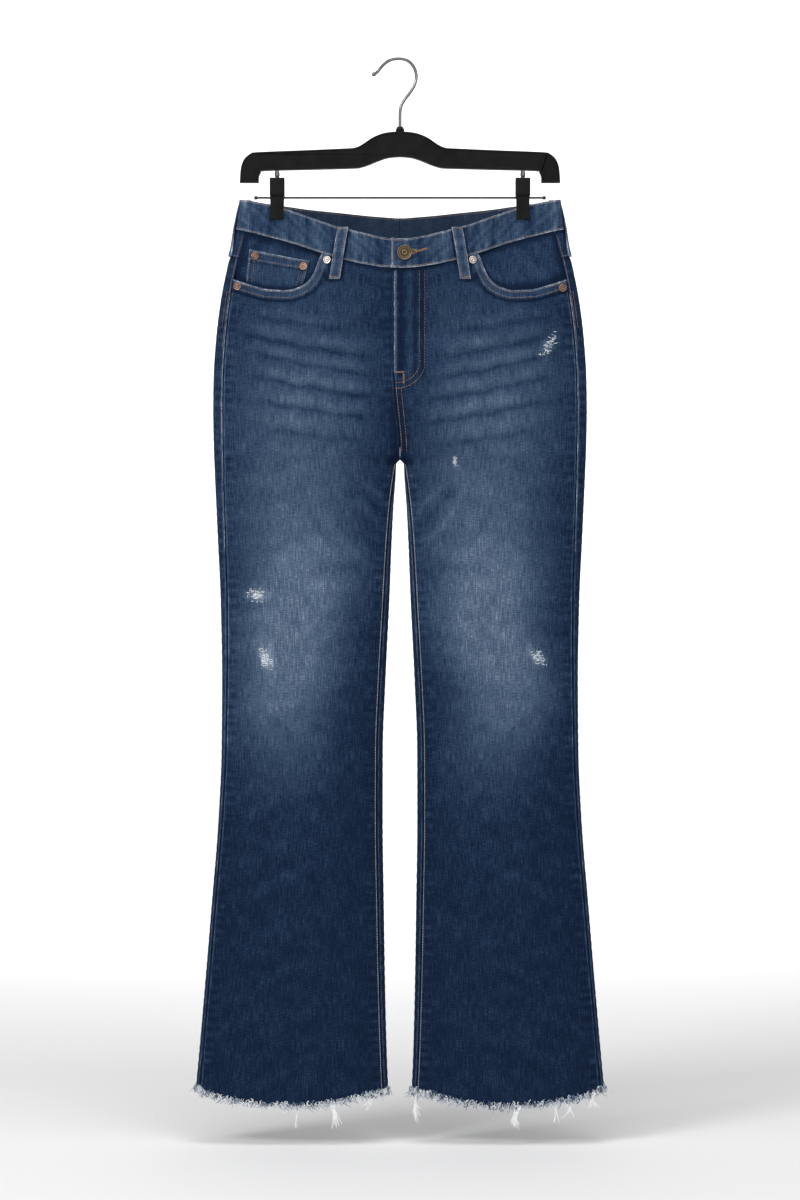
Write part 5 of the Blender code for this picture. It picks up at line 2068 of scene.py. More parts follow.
class Wiring:
    """Adds nodes to a node tree and joins them, in few words.

    Args:
        tree: the node tree of a material or a group.
    """

    def __init__(self, tree: bpy.types.NodeTree) -> None:
        """Keeps the tree."""
        self.tree = tree

    def node(self, kind: str, settings: dict | None = None, **inputs: object) -> bpy.types.Node:
        """Adds a node.

        Args:
            kind: the node's type.
            settings: properties of the node.
            inputs: values or sockets by input name, with _ for a blank, or i0, i1 and so on by number.

        Returns:
            The node.
        """
        made = self.tree.nodes.new(kind)
        for key, value in (settings or {}).items():
            setattr(made, key, value)
        self.feed(made, **inputs)
        return made

    def feed(self, node: bpy.types.Node, **inputs: object) -> None:
        """Gives a node's inputs their values or sockets, named as in node.

        Args:
            node: the node.
            inputs: values or sockets by input name.
        """
        for key, value in inputs.items():
            by_number = key[0] == "i" and key[1:].isdigit()
            socket = node.inputs[int(key[1:])] if by_number else node.inputs[key.replace("_", " ")]
            if isinstance(value, bpy.types.NodeSocket):
                self.tree.links.new(value, socket)
            else:
                socket.default_value = value

    def math(self, operation: str, *values: object) -> bpy.types.NodeSocket:
        """A Math node's result."""
        inputs = {f"i{i}": value for i, value in enumerate(values)}
        return self.node("ShaderNodeMath", {"operation": operation}, **inputs).outputs[0]

    def plus(self, total: object, *more: object) -> bpy.types.NodeSocket:
        """A sum."""
        for value in more:
            total = self.math("ADD", total, value)
        return total

    def times(self, value: object, factor: object) -> bpy.types.NodeSocket:
        """A product."""
        return self.math("MULTIPLY", value, factor)

    def stretch(self, vector: bpy.types.NodeSocket, scale: Color) -> bpy.types.NodeSocket:
        """A vector scaled along each axis."""
        return self.node("ShaderNodeVectorMath", {"operation": "MULTIPLY"}, i0=vector, i1=scale).outputs[0]

    def relief(
        self, height: bpy.types.NodeSocket, strength: float, reach: float = 0.0002
    ) -> bpy.types.NodeSocket:
        """A bump normal."""
        return self.node("ShaderNodeBump", Strength=strength, Distance=reach, Height=height).outputs[0]

    def ramp(
        self, value: bpy.types.NodeSocket, *stops: tuple[float, tuple[float, ...]]
    ) -> bpy.types.NodeSocket:
        """A colour ramp through stops of place and colour.

        Args:
            value: the socket that it reads.
            stops: places and colours.

        Returns:
            The colour's socket.
        """
        made = self.node("ShaderNodeValToRGB", Fac=value)
        elements = made.color_ramp.elements
        while len(elements) < len(stops):
            elements.new(1.0)
        for element, (place, color) in zip(elements, stops):
            element.position = place
            element.color = (*color, 1.0)
        return made.outputs["Color"]

    def noise(self, vector: bpy.types.NodeSocket, scale: float, detail: float = 2.0) -> bpy.types.NodeSocket:
        """A noise texture's value."""
        made = self.node("ShaderNodeTexNoise", Vector=vector, Scale=scale, Detail=detail, Roughness=0.55)
        return made.outputs["Fac"]

    def blend(self, share: object, a: object, b: object) -> bpy.types.NodeSocket:
        """A mix of two colours."""
        return self.node("ShaderNodeMix", {"data_type": "RGBA"}, i0=share, i6=a, i7=b).outputs[2]

    def span(
        self, value: object, low: float, high: float, to_low: float, to_high: float
    ) -> bpy.types.NodeSocket:
        """A clamped change of range."""
        inputs = {"i0": value, "i1": low, "i2": high, "i3": to_low, "i4": to_high}
        return self.node("ShaderNodeMapRange", **inputs).outputs[0]


def new_group(
    name: str, inputs: Sequence[tuple[str, str, object]], outputs: Sequence[tuple[str, str]]
) -> tuple:
    """Starts a node group with named sockets.

    Args:
        name: the group's name.
        inputs: name, socket type and default of each input.
        outputs: name and socket type of each output.

    Returns:
        The group, its wiring, its input node and its output node.
    """
    group = bpy.data.node_groups.new(name, "ShaderNodeTree")
    for title, kind, value in inputs:
        socket = group.interface.new_socket(title, in_out="INPUT", socket_type=kind)
        socket.default_value = value
    for title, kind in outputs:
        group.interface.new_socket(title, in_out="OUTPUT", socket_type=kind)
    wiring = Wiring(group)
    return group, wiring, wiring.node("NodeGroupInput"), wiring.node("NodeGroupOutput")


FLOAT, VECTOR, COLOR = "NodeSocketFloat", "NodeSocketVector", "NodeSocketColor"


def twill_group() -> bpy.types.NodeTree:
    """Node group of the twill: fine diagonal wales of uneven warp yarns over pale weft.

    Returns:
        The group, which reads cloth UV in metres and puts out yarn, slub and height.
    """
    group, wire, given, out = new_group(
        "twill", [("Cloth", VECTOR, (0, 0, 0)), ("Pitch", FLOAT, 0.0011)],
        [("Wale", FLOAT), ("Slub", FLOAT), ("Speckle", FLOAT), ("Height", FLOAT)],
    )
    cloth = given.outputs["Cloth"]
    split = wire.node("ShaderNodeSeparateXYZ", Vector=cloth)
    warp = wire.noise(cloth, 900.0, 1.0)
    lean = wire.plus(split.outputs[0], wire.times(split.outputs[1], 0.55), wire.times(warp, 0.0006))
    turns = wire.math("DIVIDE", lean, given.outputs["Pitch"])
    wave = wire.math("SINE", wire.times(turns, math.tau))
    wale = wire.span(wave, -1.0, 1.0, 0.0, 1.0)
    slub = wire.noise(wire.stretch(cloth, (780.0, 52.0, 1.0)), 1.0, 3.0)
    cross = wire.noise(wire.stretch(cloth, (150.0, 820.0, 1.0)), 1.0, 2.0)
    grain = wire.noise(cloth, 1150.0, 1.0)
    speckle = wire.plus(wire.times(cross, 0.45), wire.times(grain, 0.55))
    height = wire.plus(wire.times(wale, 0.5), wire.times(slub, 0.5))
    wire.feed(out, Wale=wale, Slub=slub, Speckle=speckle, Height=height)
    return group


def indigo_group() -> bpy.types.NodeTree:
    """Node group of the dye: from deep indigo through washed blue to bared weft.

    Returns:
        The group, which reads wash, wear and painted shade and puts out a colour.
    """
    inputs = [(title, FLOAT, 0.0) for title in ("Wash", "Wear", "Shade", "Slub", "Speckle", "Wale", "Cloud")]
    group, wire, given, out = new_group("indigo", inputs, [("Color", COLOR)])
    wash, wear, shade, slub, speckle, wale, cloud = (given.outputs[i] for i in range(7))
    worn = wire.times(wear, wire.span(slub, 0.25, 0.75, 0.45, 1.0))
    tone = wire.plus(
        wire.times(wash, 0.62),
        wire.span(slub, 0.3, 0.7, -0.14, 0.14),
        wire.span(speckle, 0.35, 0.65, -0.17, 0.17),
        wire.span(cloud, 0.3, 0.7, -0.06, 0.06),
        wire.span(wale, 0.0, 1.0, -0.03, 0.03),
        wire.times(worn, 0.5),
    )
    # Painted shade darkens the tone.
    tone = wire.math("SUBTRACT", tone, wire.times(shade, 0.34))
    dyed = wire.ramp(
        tone, (0.0, (0.0022, 0.008, 0.025)), (0.14, (0.0055, 0.017, 0.045)), (0.34, (0.02, 0.04, 0.079)),
        (0.56, (0.048, 0.078, 0.129)), (0.78, (0.125, 0.172, 0.245)), (1.0, (0.36, 0.42, 0.5)),
    )
    wire.feed(out, Color=dyed)
    return group


def shader_material(name: str) -> tuple[bpy.types.Material, Wiring, bpy.types.Node]:
    """A new material with its wiring and its Principled BSDF."""
    made = bpy.data.materials.new(name)
    made.use_nodes = True
    return made, Wiring(made.node_tree), made.node_tree.nodes["Principled BSDF"]


@dataclass(frozen=True)
class Denim:
    """Washed indigo twill."""

    name: str
    pitch: float = 0.0011
    roughness: float = 0.82
    depth: float = 0.35

    def make(self, twill: bpy.types.NodeTree, indigo: bpy.types.NodeTree) -> bpy.types.Material:
        """Builds the material from its weave and its dye.

        Args:
            twill: node group of the weave.
            indigo: node group of the dye.

        Returns:
            The material.
        """
        made, wire, shader = shader_material(self.name)
        uv = wire.node("ShaderNodeUVMap", {"uv_map": "cloth"}).outputs[0]
        weave = wire.node("ShaderNodeGroup", {"node_tree": twill}, Cloth=uv, Pitch=self.pitch)
        read = {
            title: wire.node("ShaderNodeAttribute", {"attribute_name": title}).outputs["Fac"]
            for title in ("wash", "wear", "shade", "inside")
        }
        cloud = wire.noise(uv, 46.0, 3.0)
        yarns = {title: weave.outputs[title] for title in ("Slub", "Speckle", "Wale")}
        dye = wire.node(
            "ShaderNodeGroup", {"node_tree": indigo},
            Wash=read["wash"], Wear=read["wear"], Shade=read["shade"], Cloud=cloud, **yarns,
        ).outputs["Color"]
        pale = wire.ramp(
            weave.outputs["Speckle"], (0.3, (0.005, 0.012, 0.028)), (0.7, (0.022, 0.037, 0.068)),
        )
        wire.feed(
            shader,
            Base_Color=wire.blend(wire.times(read["inside"], 0.75), dye, pale),
            Normal=wire.relief(weave.outputs["Height"], self.depth, 0.0004),
            Roughness=self.roughness,
            Specular_IOR_Level=0.08,
        )
        return made


@dataclass(frozen=True)
class Thread:
    """Spun cotton thread whose colour varies from stitch to stitch."""

    name: str
    dark: Color
    middle: Color
    light: Color
    scale: float = 260.0
    roughness: float = 0.72

    def make(self) -> bpy.types.Material:
        """Builds the material."""
        made, wire, shader = shader_material(self.name)
        place = wire.node("ShaderNodeTexCoord").outputs["Object"]
        patchy = wire.noise(place, self.scale, 1.0)
        slow = wire.noise(place, self.scale * 0.12, 1.0)
        ply = wire.noise(place, 2600.0, 1.0)
        tone = wire.plus(wire.times(patchy, 0.6), wire.times(slow, 0.4), wire.span(ply, 0.3, 0.7, -0.1, 0.1))
        color = wire.ramp(tone, (0.34, self.dark), (0.52, self.middle), (0.68, self.light))
        wire.feed(shader, Base_Color=color, Normal=wire.relief(ply, 0.4), Roughness=self.roughness)
        return made


@dataclass(frozen=True)
class AgedMetal:
    """Plated metal with a dark patina in its dips and a brighter worn tone on its highs, and a painted dark
    reflection that dims its colour and its metal towards the rims as they are seen.
    """

    name: str
    patina: Color
    bright: Color
    roughness: float
    grain: float = 900.0
    rim: float = 0.42

    def make(self) -> bpy.types.Material:
        """Builds the material."""
        made, wire, shader = shader_material(self.name)
        place = wire.node("ShaderNodeTexCoord").outputs["Object"]
        spots = wire.noise(place, self.grain, 3.0)
        fine = wire.noise(place, self.grain * 3.4, 2.0)
        edge = wire.node("ShaderNodeNewGeometry").outputs["Pointiness"]
        high = wire.span(edge, 0.48, 0.54, 0.0, 1.0)
        tone = wire.plus(wire.times(spots, 0.6), wire.times(high, 0.55))
        color = wire.ramp(tone, (0.2, self.patina), (0.75, self.bright))
        # Painted reflection: Layer Weight darkens the colour and drops the metal towards the rims as they
        # are seen, standing in for dark surroundings mirrored there.
        away = wire.node("ShaderNodeLayerWeight", Blend=0.3).outputs["Facing"]
        painted_rim_shade = wire.span(away, self.rim * 0.2, self.rim * 0.85, 0.0, 0.9)
        dim = (*(0.1 * part for part in self.bright), 1.0)
        wire.feed(
            shader,
            Base_Color=wire.blend(painted_rim_shade, color, dim),
            Roughness=wire.span(fine, 0.3, 0.7, self.roughness - 0.08, self.roughness + 0.12),
            Normal=wire.relief(fine, 0.18),
            Metallic=wire.span(away, self.rim / 3, self.rim, 1.0, 0.0),
            Specular_IOR_Level=0.0,
        )
        return made


@dataclass(frozen=True)
class Plastic:
    """Moulded black plastic with a fine satin grain."""

    name: str
    dark: Color
    light: Color
    roughness: float

    def make(self) -> bpy.types.Material:
        """Builds the material."""
        made, wire, shader = shader_material(self.name)
        place = wire.node("ShaderNodeTexCoord").outputs["Object"]
        grain = wire.noise(place, 2100.0, 2.0)
        smear = wire.noise(place, 60.0, 3.0)
        wire.feed(
            shader,
            Base_Color=wire.ramp(smear, (0.3, self.dark), (0.7, self.light)),
            Roughness=wire.span(smear, 0.3, 0.7, self.roughness - 0.06, self.roughness + 0.08),
            Normal=wire.relief(grain, 0.12),
            Specular_IOR_Level=0.06,
        )
        return made


def solid_piece(
    name: str, bm: bmesh.types.BMesh, material: bpy.types.Material, slot: Slot, *nodes: str,
    sharp: float = 35.0,
) -> bpy.types.Object:
    """Finishes a hard piece with its sharp edges marked.

    Args:
        name: the piece's name.
        bm: its bmesh, in place, which is freed.
        material: its finish.
        slot: not used.
        nodes: the CAD nodes that it stands for.
        sharp: angle in degrees past which an edge stays sharp.

    Returns:
        The piece's object.
    """
    bmesh.ops.remove_doubles(bm, verts=bm.verts[:], dist=1e-7)
    mesh = mesh_of(name, bm)
    piece = finished(name, mesh, material)
    mesh.set_sharp_from_angle(angle=math.radians(sharp))
    if nodes:
        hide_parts(*nodes)
    return piece


def turned_mesh(profile: Sequence[Row], steps: int) -> bmesh.types.BMesh:
    """A profile of radius and height in millimetres turned about Z.

    Args:
        profile: rows of radius and height.
        steps: cells round the turn.

    Returns:
        The bmesh.
    """
    bm = bmesh.new()
    verts = [bm.verts.new((r * MM, 0.0, h * MM)) for r, h in profile]
    edges = [bm.edges.new(pair) for pair in zip(verts, verts[1:])]
    bmesh.ops.spin(
        bm, geom=verts + edges, cent=(0, 0, 0), axis=(0, 0, 1), dvec=(0, 0, 0), angle=math.tau,
        steps=steps, use_merge=True, use_duplicate=False,
    )
    bmesh.ops.remove_doubles(bm, verts=bm.verts[:], dist=1e-6)
    return bm


def seat_on_cloth(bm: bmesh.types.BMesh, half: Half, x: float, z: float, lift: float) -> None:
    """Stands a turned shape on the front, its Z pointing out of the cloth.

    Args:
        bm: the bmesh, in place.
        half: the half of the garment.
        x: its distance from the middle.
        z: its height.
        lift: how far out of the cloth it stands.
    """
    foot = Vector(half.on_face(np.array(x), np.array(z), Face.FRONT, lift))
    head = Vector(half.on_face(np.array(x), np.array(z), Face.FRONT, lift + 1.0))
    turn = (head - foot).to_track_quat("Z", "Y").to_matrix()
    bmesh.ops.rotate(bm, verts=bm.verts[:], cent=(0, 0, 0), matrix=turn)
    bmesh.ops.translate(bm, verts=bm.verts[:], vec=foot)


@dataclass
class Hardware:
    """The shank button and six rivets."""

    brass: bpy.types.Material
    copper: bpy.types.Material
    silver: bpy.types.Material
    button_place: tuple[float, float] = (5.6, -245.5)
    button_profile: tuple[Row, ...] = (
        (0.0, 1.55), (1.3, 1.6), (1.7, 1.75), (2.0, 2.2), (2.5, 2.45), (3.0, 2.35), (3.35, 2.0), (3.9, 1.9),
        (5.6, 2.0), (6.0, 2.2), (6.35, 2.25), (6.7, 2.15), (7.0, 2.05), (7.7, 2.1), (8.2, 2.5), (8.7, 2.7),
        (9.1, 2.55), (9.3, 2.1), (9.25, 1.3), (8.9, 0.8), (8.2, 0.55), (4.0, 0.5), (3.6, 0.3), (3.5, 0.0),
        (0.0, 0.0),
    )
    rivet_profile: tuple[Row, ...] = (
        (0.0, 0.55), (0.7, 0.6), (1.0, 0.85), (1.35, 1.25), (1.8, 1.35), (2.2, 1.2), (2.5, 0.95), (3.2, 0.9),
        (3.7, 1.0), (4.2, 1.15), (4.6, 1.05), (4.85, 0.7), (4.8, 0.3), (4.5, 0.0), (0.0, 0.0),
    )

    def build(self) -> None:
        """Sets the button and the rivets on the cloth."""
        bm = turned_mesh(self.button_profile, 64)
        seat_on_cloth(bm, HALVES[Side.LEFT], *self.button_place, BAND_OUT + BAND_LAP + 0.3)
        solid_piece("button_shank", bm, self.brass, Slot.BRASS, "button", sharp=60)
        for name, side, x, z, lift, material, slot in (
            ("rivet_inner_left", Side.LEFT, 91.0, -254.0, 0.75, self.silver, Slot.SILVER),
            ("rivet_inner_right", Side.RIGHT, 91.5, -254.0, 0.75, self.silver, Slot.SILVER),
            ("rivet_outer_left", Side.LEFT, 204.4, -288.5, 0.85, self.copper, Slot.COPPER),
            ("rivet_outer_right", Side.RIGHT, 204.4, -286.5, 0.85, self.copper, Slot.COPPER),
            ("rivet_coin_outer", Side.RIGHT, 182.6, -247.8, 0.1, self.copper, Slot.COPPER),
            ("rivet_coin_inner", Side.RIGHT, 121.6, -261.4, 0.0, self.copper, Slot.COPPER),
        ):
            bm = turned_mesh(self.rivet_profile, 40)
            seat_on_cloth(bm, HALVES[side], x, z, lift)
            solid_piece(f"{name}_cap", bm, material, slot, name, sharp=60)


def smooth_route(route: Sequence[Row], steps: int) -> list[Row]:
    """Points on a smooth curve through a route's points, with some steps between each pair.

    Args:
        route: the points to pass through.
        steps: steps between each pair.

    Returns:
        The points.
    """
    points = [Vector(point) for point in route]
    padded = [points[0] * 2 - points[1], *points, points[-1] * 2 - points[-2]]
    smooth = []
    for before, start, end, after in zip(padded, padded[1:], padded[2:], padded[3:]):
        for step in range(steps):
            t = step / steps
            bend = (before * 2 - start * 5 + end * 4 - after) * t * t
            twist = (start * 3 - before - end * 3 + after) * t * t * t
            smooth.append(tuple((start * 2 + (end - before) * t + bend + twist) / 2))
    return [*smooth, tuple(points[-1])]


@dataclass
class Hanger:
    """The moulded body with its chrome hook, and the two clips that slide on its rod."""

    plastic: bpy.types.Material
    chrome: bpy.types.Material
    steel: bpy.types.Material
    half_depth: float = 6.0
    wire: float = 1.95
    clip_x: float = 155.0
    top: tuple[Row, ...] = (
        (0, -90.2), (12, -91.0), (23.3, -93.2), (34.7, -98.0), (44, -104.2), (51, -108.6), (58, -111.0),
        (66, -111.6), (120, -114.0), (180, -116.4), (188.5, -118.4), (195.5, -124.0), (199.6, -132.0),
        (201.2, -141.0), (202, -154.6),
    )
    under: tuple[Row, ...] = (
        (178.2, -154.6), (178.0, -147.0), (175.6, -141.8), (170.5, -139.4), (115, -137.9), (60, -136.4),
        (50, -135.4), (40, -132.4), (29, -127.8), (15, -123.2), (0, -121.8),
    )
    hook: tuple[Row, ...] = (
        (-33.0, -17.6), (-28.6, -14.6), (-22.4, -7.2), (-13.6, -0.2), (-2.0, 2.1), (9.6, -0.4), (17.8, -9.0),
        (20.6, -20.2), (18.2, -31.2), (12.2, -41.2), (5.9, -49.6), (1.5, -57.4), (0.2, -65.0), (0.0, -74.0),
        (0.0, -83.6),
    )

    def build(self) -> None:
        """Builds the whole hanger."""
        self.body()
        self.wire_hook()
        self.collar()
        self.rod()
        for side in Side:
            self.pin(side)
            for face in Face:
                self.jaw(side, face)

    def body(self) -> None:
        """Moulds the shouldered bar with rounded rims and a shallow panel sunk in both faces."""
        edge = smooth_route(self.top, 4) + smooth_route(self.under, 4)
        outline = edge[:-1] + [(-x, z) for x, z in reversed(edge[1:])]
        bm = bmesh.new()
        verts = [bm.verts.new((x * MM, -self.half_depth * MM, z * MM)) for x, z in outline]
        face = bm.faces.new(verts)
        made = bmesh.ops.extrude_face_region(bm, geom=[face], use_keep_orig=True)
        bmesh.ops.translate(bm, verts=new_verts(made), vec=(0, 2 * self.half_depth * MM, 0))
        bmesh.ops.recalc_face_normals(bm, faces=bm.faces[:])
        rims = [edge for edge in bm.edges if abs(edge.verts[0].co.y - edge.verts[1].co.y) < MM]
        bmesh.ops.bevel(
            bm, geom=rims, offset=1.7 * MM, affect="EDGES", segments=4, profile=0.5, material=-1,
            clamp_overlap=True,
        )
        big = [face for face in bm.faces if abs(face.normal.y) > 0.99 and face.calc_area() > 1e-3]
        bmesh.ops.inset_region(bm, faces=big, thickness=1.6 * MM, depth=0.0, use_even_offset=False)
        bmesh.ops.inset_region(bm, faces=big, thickness=0.4 * MM, depth=-0.4 * MM, use_even_offset=False)
        solid_piece("hanger_bar", bm, self.plastic, Slot.PLASTIC, "hanger_body", sharp=40)

    def wire_hook(self) -> None:
        """Bends the hook's wire and rounds its tip."""
        hook = Yarns("hanger_wire", self.wire, 6)
        route = smooth_route(self.hook, 8)
        hook.add(np.array([(x, 0.0, z) for x, z in route]) * MM, np.ones(len(route)))
        tip = self.hook[0]
        piece = hook.build(self.chrome, Slot.CHROME)
        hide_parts("hanger_hook")
        bm = bmesh.new()
        ball = Matrix.Translation(Vector((tip[0], 0, tip[1])) * MM)
        bmesh.ops.create_uvsphere(bm, u_segments=32, v_segments=20, radius=2.75 * MM, matrix=ball)
        solid_piece("hanger_wire_tip", bm, self.chrome, Slot.CHROME)

    def collar(self) -> None:
        """Turns the stepped collar that the hook swivels in."""
        profile = (
            (0.0, -83.9), (3.4, -83.9), (4.0, -84.3), (4.3, -85.6), (4.9, -86.2), (5.3, -86.8), (5.4, -87.6),
            (5.4, -89.4), (5.1, -89.9), (0.0, -89.9),
        )
        bm = turned_mesh(profile, 48)
        solid_piece("hanger_ferrule", bm, self.plastic, Slot.PLASTIC, "hanger_collar", sharp=60)

    def rod(self) -> None:
        """Draws the thin rod and its end caps."""
        profile = (
            (0.0, -184.0), (1.9, -184.0), (2.2, -183.5), (2.2, -180.4), (1.9, -180.0), (1.25, -180.0),
            (1.25, 180.0), (1.9, 180.0), (2.2, 180.4), (2.2, 183.5), (1.9, 184.0), (0.0, 184.0),
        )
        bm = turned_mesh(profile, 24)
        bmesh.ops.rotate(bm, verts=bm.verts[:], cent=(0, 0, 0), matrix=Matrix.Rotation(math.pi / 2, 3, "Y"))
        bmesh.ops.translate(bm, verts=bm.verts[:], vec=(0, 0, -173.5 * MM))
        solid_piece("hanger_rail", bm, self.steel, Slot.CHROME, "hanger_rod", sharp=50)

    def pin(self, side: Side) -> None:
        """Turns the pin that a clip hangs on.

        Args:
            side: which half it is on.
        """
        profile = (
            (0.0, -139.6), (2.6, -139.6), (2.6, -141.4), (3.1, -141.8), (3.1, -146.0), (2.6, -146.6),
            (2.6, -148.5), (0.0, -148.5),
        )
        bm = turned_mesh(profile, 32)
        bmesh.ops.translate(bm, verts=bm.verts[:], vec=(side * self.clip_x * MM, 0, 0))
        name = f"clip_pin_{side.word}"
        solid_piece(f"{name}_stud", bm, self.chrome, Slot.CHROME, name, sharp=50)

    def jaw(self, side: Side, face: Face) -> None:
        """Moulds one jaw of a clip, ribbed for the fingers above and plain where it grips.

        Args:
            side: which half it is on.
            face: the front jaw or the back one.
        """
        ribs = [(8.2 + (0.35 if i % 2 else 0.0), -152.5 - 1.15 * i) for i in range(14)]
        section = [
            (0.15, -148.8), (0.15, -170.5), (1.6, -171.6), (1.6, -176.4), (3.2, -180.0), (3.2, -200.6),
            (3.6, -200.8), (5.8, -200.8), (6.2, -200.3), (6.6, -172.0), (7.9, -171.3), (8.2, -170.6),
            *reversed(ribs), (8.2, -150.0), (7.6, -148.8),
        ]
        bm = bmesh.new()
        middle = side * self.clip_x * MM
        verts = [bm.verts.new((middle, face * y * MM, z * MM)) for y, z in section]
        profile = bm.faces.new(verts)
        made = bmesh.ops.extrude_face_region(bm, geom=[profile], use_keep_orig=True)
        for ends, way in ((verts, -1), (new_verts(made), 1)):
            for vert in ends:
                wide = 9.25 if vert.co.z > -171.4 * MM else 8.2
                vert.co.x = middle + way * wide * MM
        bmesh.ops.recalc_face_normals(bm, faces=bm.faces[:])
        caps = [edge for edge in bm.edges if abs(edge.verts[0].co.x - edge.verts[1].co.x) < MM
                and abs(edge.verts[0].co.x - middle) > 7 * MM and abs(edge.verts[0].co.y) > 6.1 * MM
                and abs(edge.verts[1].co.y) > 6.1 * MM]
        bmesh.ops.bevel(bm, geom=caps, offset=0.4 * MM, affect="EDGES", segments=2, profile=0.5, material=-1)
        word = "front" if face == Face.FRONT else "back"
        node = f"clip_{word}_{side.word}"
        solid_piece(f"{node}_jaw", bm, self.plastic, Slot.PLASTIC, node, sharp=30)


def distance_to_scoop(x: Array, z: Array) -> Array:
    """Distance of places on a front from the hip pocket's edge.

    Args:
        x: distances from the middle.
        z: heights.

    Returns:
        The distance of each place.
    """
    gaps = np.full(len(x), FAR)
    close = (x > SCOOP_START - 25) & (z > -320)
    spots = np.stack((x[close], z[close]), axis=-1)
    if len(spots):
        gaps[close] = np.min(np.linalg.norm(spots[:, None] - SCOOP_POINTS[None], axis=-1), axis=1)
    return gaps


@dataclass
class Studio:
    """The pale sweep, the soft lights and the camera level with the middle of the photograph."""

    floor: float = -1.367
    camera_z: float = -0.681
    distance: float = 4.2
    photo_height: float = 1.5144
    sensor: float = 36.0

    def build(self) -> None:
        """Sets the stage."""
        self.sweep()
        self.light("key", (-2.3, -2.6, 1.5), (0, 0, -0.55), 1.2, 80.0)
        self.light("fill", (2.2, -3.0, 0.4), (0, 0, -0.7), 2.4, 20.0)
        self.light("top", (0.0, -0.9, 1.9), (0, 0.1, -1.35), 1.5, 46.0)
        self.light("wall", (0.0, 2.6, 2.6), (0, 7.4, 0.2), 3.0, 250.0)
        world = bpy.data.worlds.new("studio")
        bpy.context.scene.world = world
        world.use_nodes = True
        background = world.node_tree.nodes["Background"]
        background.inputs["Color"].default_value = (1.0, 1.0, 1.0, 1.0)
        background.inputs["Strength"].default_value = 0.62
        bpy.context.scene.view_settings.view_transform = "Standard"
        bpy.context.scene.view_settings.look = "None"
        self.camera()

    def sweep(self) -> None:
        """Lays the floor and curves it up behind."""
        bm = bmesh.new()
        radius, far, near, wide, high = 1.6, 5.8, -24.0, 16.0, 7.0
        turn = np.linspace(0.0, math.pi / 2, 24)
        line = [(near, self.floor)] + [
            (far + radius * math.sin(t), self.floor + radius * (1 - math.cos(t))) for t in turn
        ] + [(far + radius, high)]
        verts = [bm.verts.new((-wide, y, z)) for y, z in line]
        edges = [bm.edges.new(pair) for pair in zip(verts, verts[1:])]
        made = bmesh.ops.extrude_edge_only(bm, edges=edges)
        bmesh.ops.translate(bm, verts=new_verts(made), vec=(2 * wide, 0, 0))
        mesh = mesh_of("studio_sweep", bm)
        mesh.shade_smooth()
        made, wire, shader = shader_material("studio_paper")
        place = wire.node("ShaderNodeTexCoord").outputs["Object"]
        parts = wire.node("ShaderNodeSeparateXYZ", Vector=place).outputs
        # Painted light: the paper is paler up the wall and far in front than on the floor round the garment,
        # evening out how brightly each shows.
        rise = wire.span(parts[2], self.floor, self.floor + 1.4, 0.0, 1.0)
        rise = wire.math("MAXIMUM", rise, wire.span(parts[1], -5.0, -1.5, 1.0, 0.0))
        tone = wire.ramp(rise, (0.0, (0.67, 0.67, 0.674)), (1.0, (0.95, 0.95, 0.95)))
        wire.feed(shader, Base_Color=tone, Roughness=0.9, Specular_IOR_Level=0.1)
        mesh.materials.append(made)
        floor = linked("studio_sweep", mesh)

    @staticmethod
    def light(name: str, place: tuple, aim: tuple, size: float, power: float) -> None:
        """Adds a square softbox.

        Args:
            name: its name.
            place: where it stands.
            aim: the point that it faces.
            size: its side in metres.
            power: its power in watts.
        """
        lamp = bpy.data.lights.new(name, "AREA")
        lamp.shape = "SQUARE"
        lamp.size = size
        lamp.energy = power
        box = linked(name, lamp)
        box.location = place
        box.rotation_euler = (Vector(aim) - Vector(place)).to_track_quat("-Z", "Y").to_euler()

    def camera(self) -> None:
        """Places the camera so that the frame is as high as the photograph at the garment."""
        lens = bpy.data.cameras.new("camera")
        lens.sensor_width = self.sensor
        lens.sensor_fit = "AUTO"
        lens.lens = self.sensor * self.distance / self.photo_height
        view = linked("camera", lens)
        view.location = (0.0, -self.distance, self.camera_z)
        view.rotation_euler = (math.pi / 2, 0.0, 0.0)
        bpy.context.scene.camera = view


def dress_hidden(denim: bpy.types.Material, brass: bpy.types.Material) -> None:
    """Finishes the CAD nodes behind the fly, which keep their shape.

    Args:
        denim: the cloth's finish.
        brass: the zip's finish.
    """
    for name, material in (("fly_shield", denim), ("zip_tape", brass), ("zip_slider", brass)):
        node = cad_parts[name]
        node.data.materials.clear()
        node.data.materials.append(material)


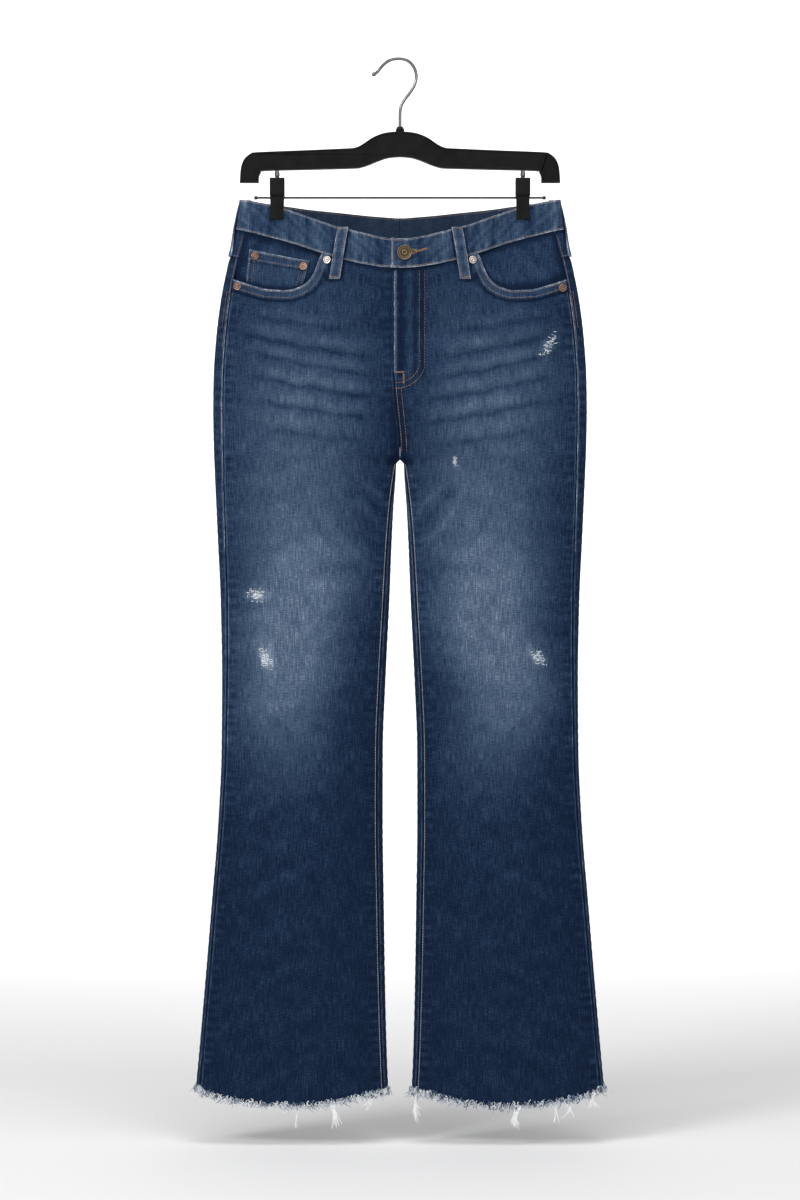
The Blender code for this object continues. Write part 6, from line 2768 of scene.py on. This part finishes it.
def main() -> None:
    """Builds the finishes, then every piece in the order it is put together."""
    logging.basicConfig(level=logging.INFO, format="%(message)s")
    twill, indigo = twill_group(), indigo_group()
    denim = Denim("washed_denim").make(twill, indigo)
    plain = Thread(
        "plain_denim", (0.012, 0.03, 0.08), (0.02, 0.05, 0.12), (0.035, 0.075, 0.16),
        scale=900.0, roughness=0.85,
    ).make()
    tan = Thread("tan_thread", (0.085, 0.046, 0.028), (0.2, 0.12, 0.068), (0.34, 0.235, 0.155)).make()
    pale = Thread("pale_thread", (0.2, 0.17, 0.16), (0.38, 0.34, 0.32), (0.56, 0.52, 0.5)).make()
    white = Thread("white_weft", (0.5, 0.55, 0.61), (0.74, 0.77, 0.8), (0.9, 0.9, 0.91)).make()
    bleached = Thread("bleached_tufts", (0.8, 0.81, 0.82), (0.93, 0.93, 0.93), (0.97, 0.97, 0.97)).make()
    blue = Thread("blue_warp", (0.012, 0.03, 0.075), (0.06, 0.105, 0.19), (0.2, 0.27, 0.38)).make()
    worn = Thread(
        "worn_edge", (0.03, 0.052, 0.095), (0.14, 0.175, 0.235), (0.42, 0.46, 0.5),
        scale=190.0, roughness=0.85,
    ).make()
    brass = AgedMetal("aged_brass", (0.04, 0.029, 0.019), (0.2, 0.148, 0.09), 0.42).make()
    copper = AgedMetal("aged_copper", (0.05, 0.029, 0.021), (0.27, 0.165, 0.118), 0.36).make()
    silver = AgedMetal("dull_silver", (0.16, 0.145, 0.13), (0.62, 0.57, 0.52), 0.32).make()
    chrome = AgedMetal("chrome", (0.1, 0.1, 0.104), (0.26, 0.26, 0.264), 0.18, grain=120.0, rim=0.15).make()
    steel = AgedMetal(
        "dark_steel", (0.02, 0.02, 0.022), (0.055, 0.055, 0.058), 0.35, grain=120.0, rim=0.1,
    ).make()
    plastic = Plastic("black_plastic", (0.006, 0.006, 0.0065), (0.009, 0.009, 0.0095), 0.44).make()
    Panels(denim).build()
    Waistband(denim).build()
    Pockets(denim).build()
    dress_hidden(plain, brass)
    Sewing(tan, pale).build()
    WornEdges(Sewing(worn, worn, pitch=4.3, length=5.0, radius=0.5, stand=0.1)).build()
    Fray(blue, white, bleached).build()
    WornSpots(white).build()
    Hardware(brass, copper, silver).build()
    Hanger(plastic, chrome, steel).build()
    Studio().build()


if __name__ == "__main__":
    main()
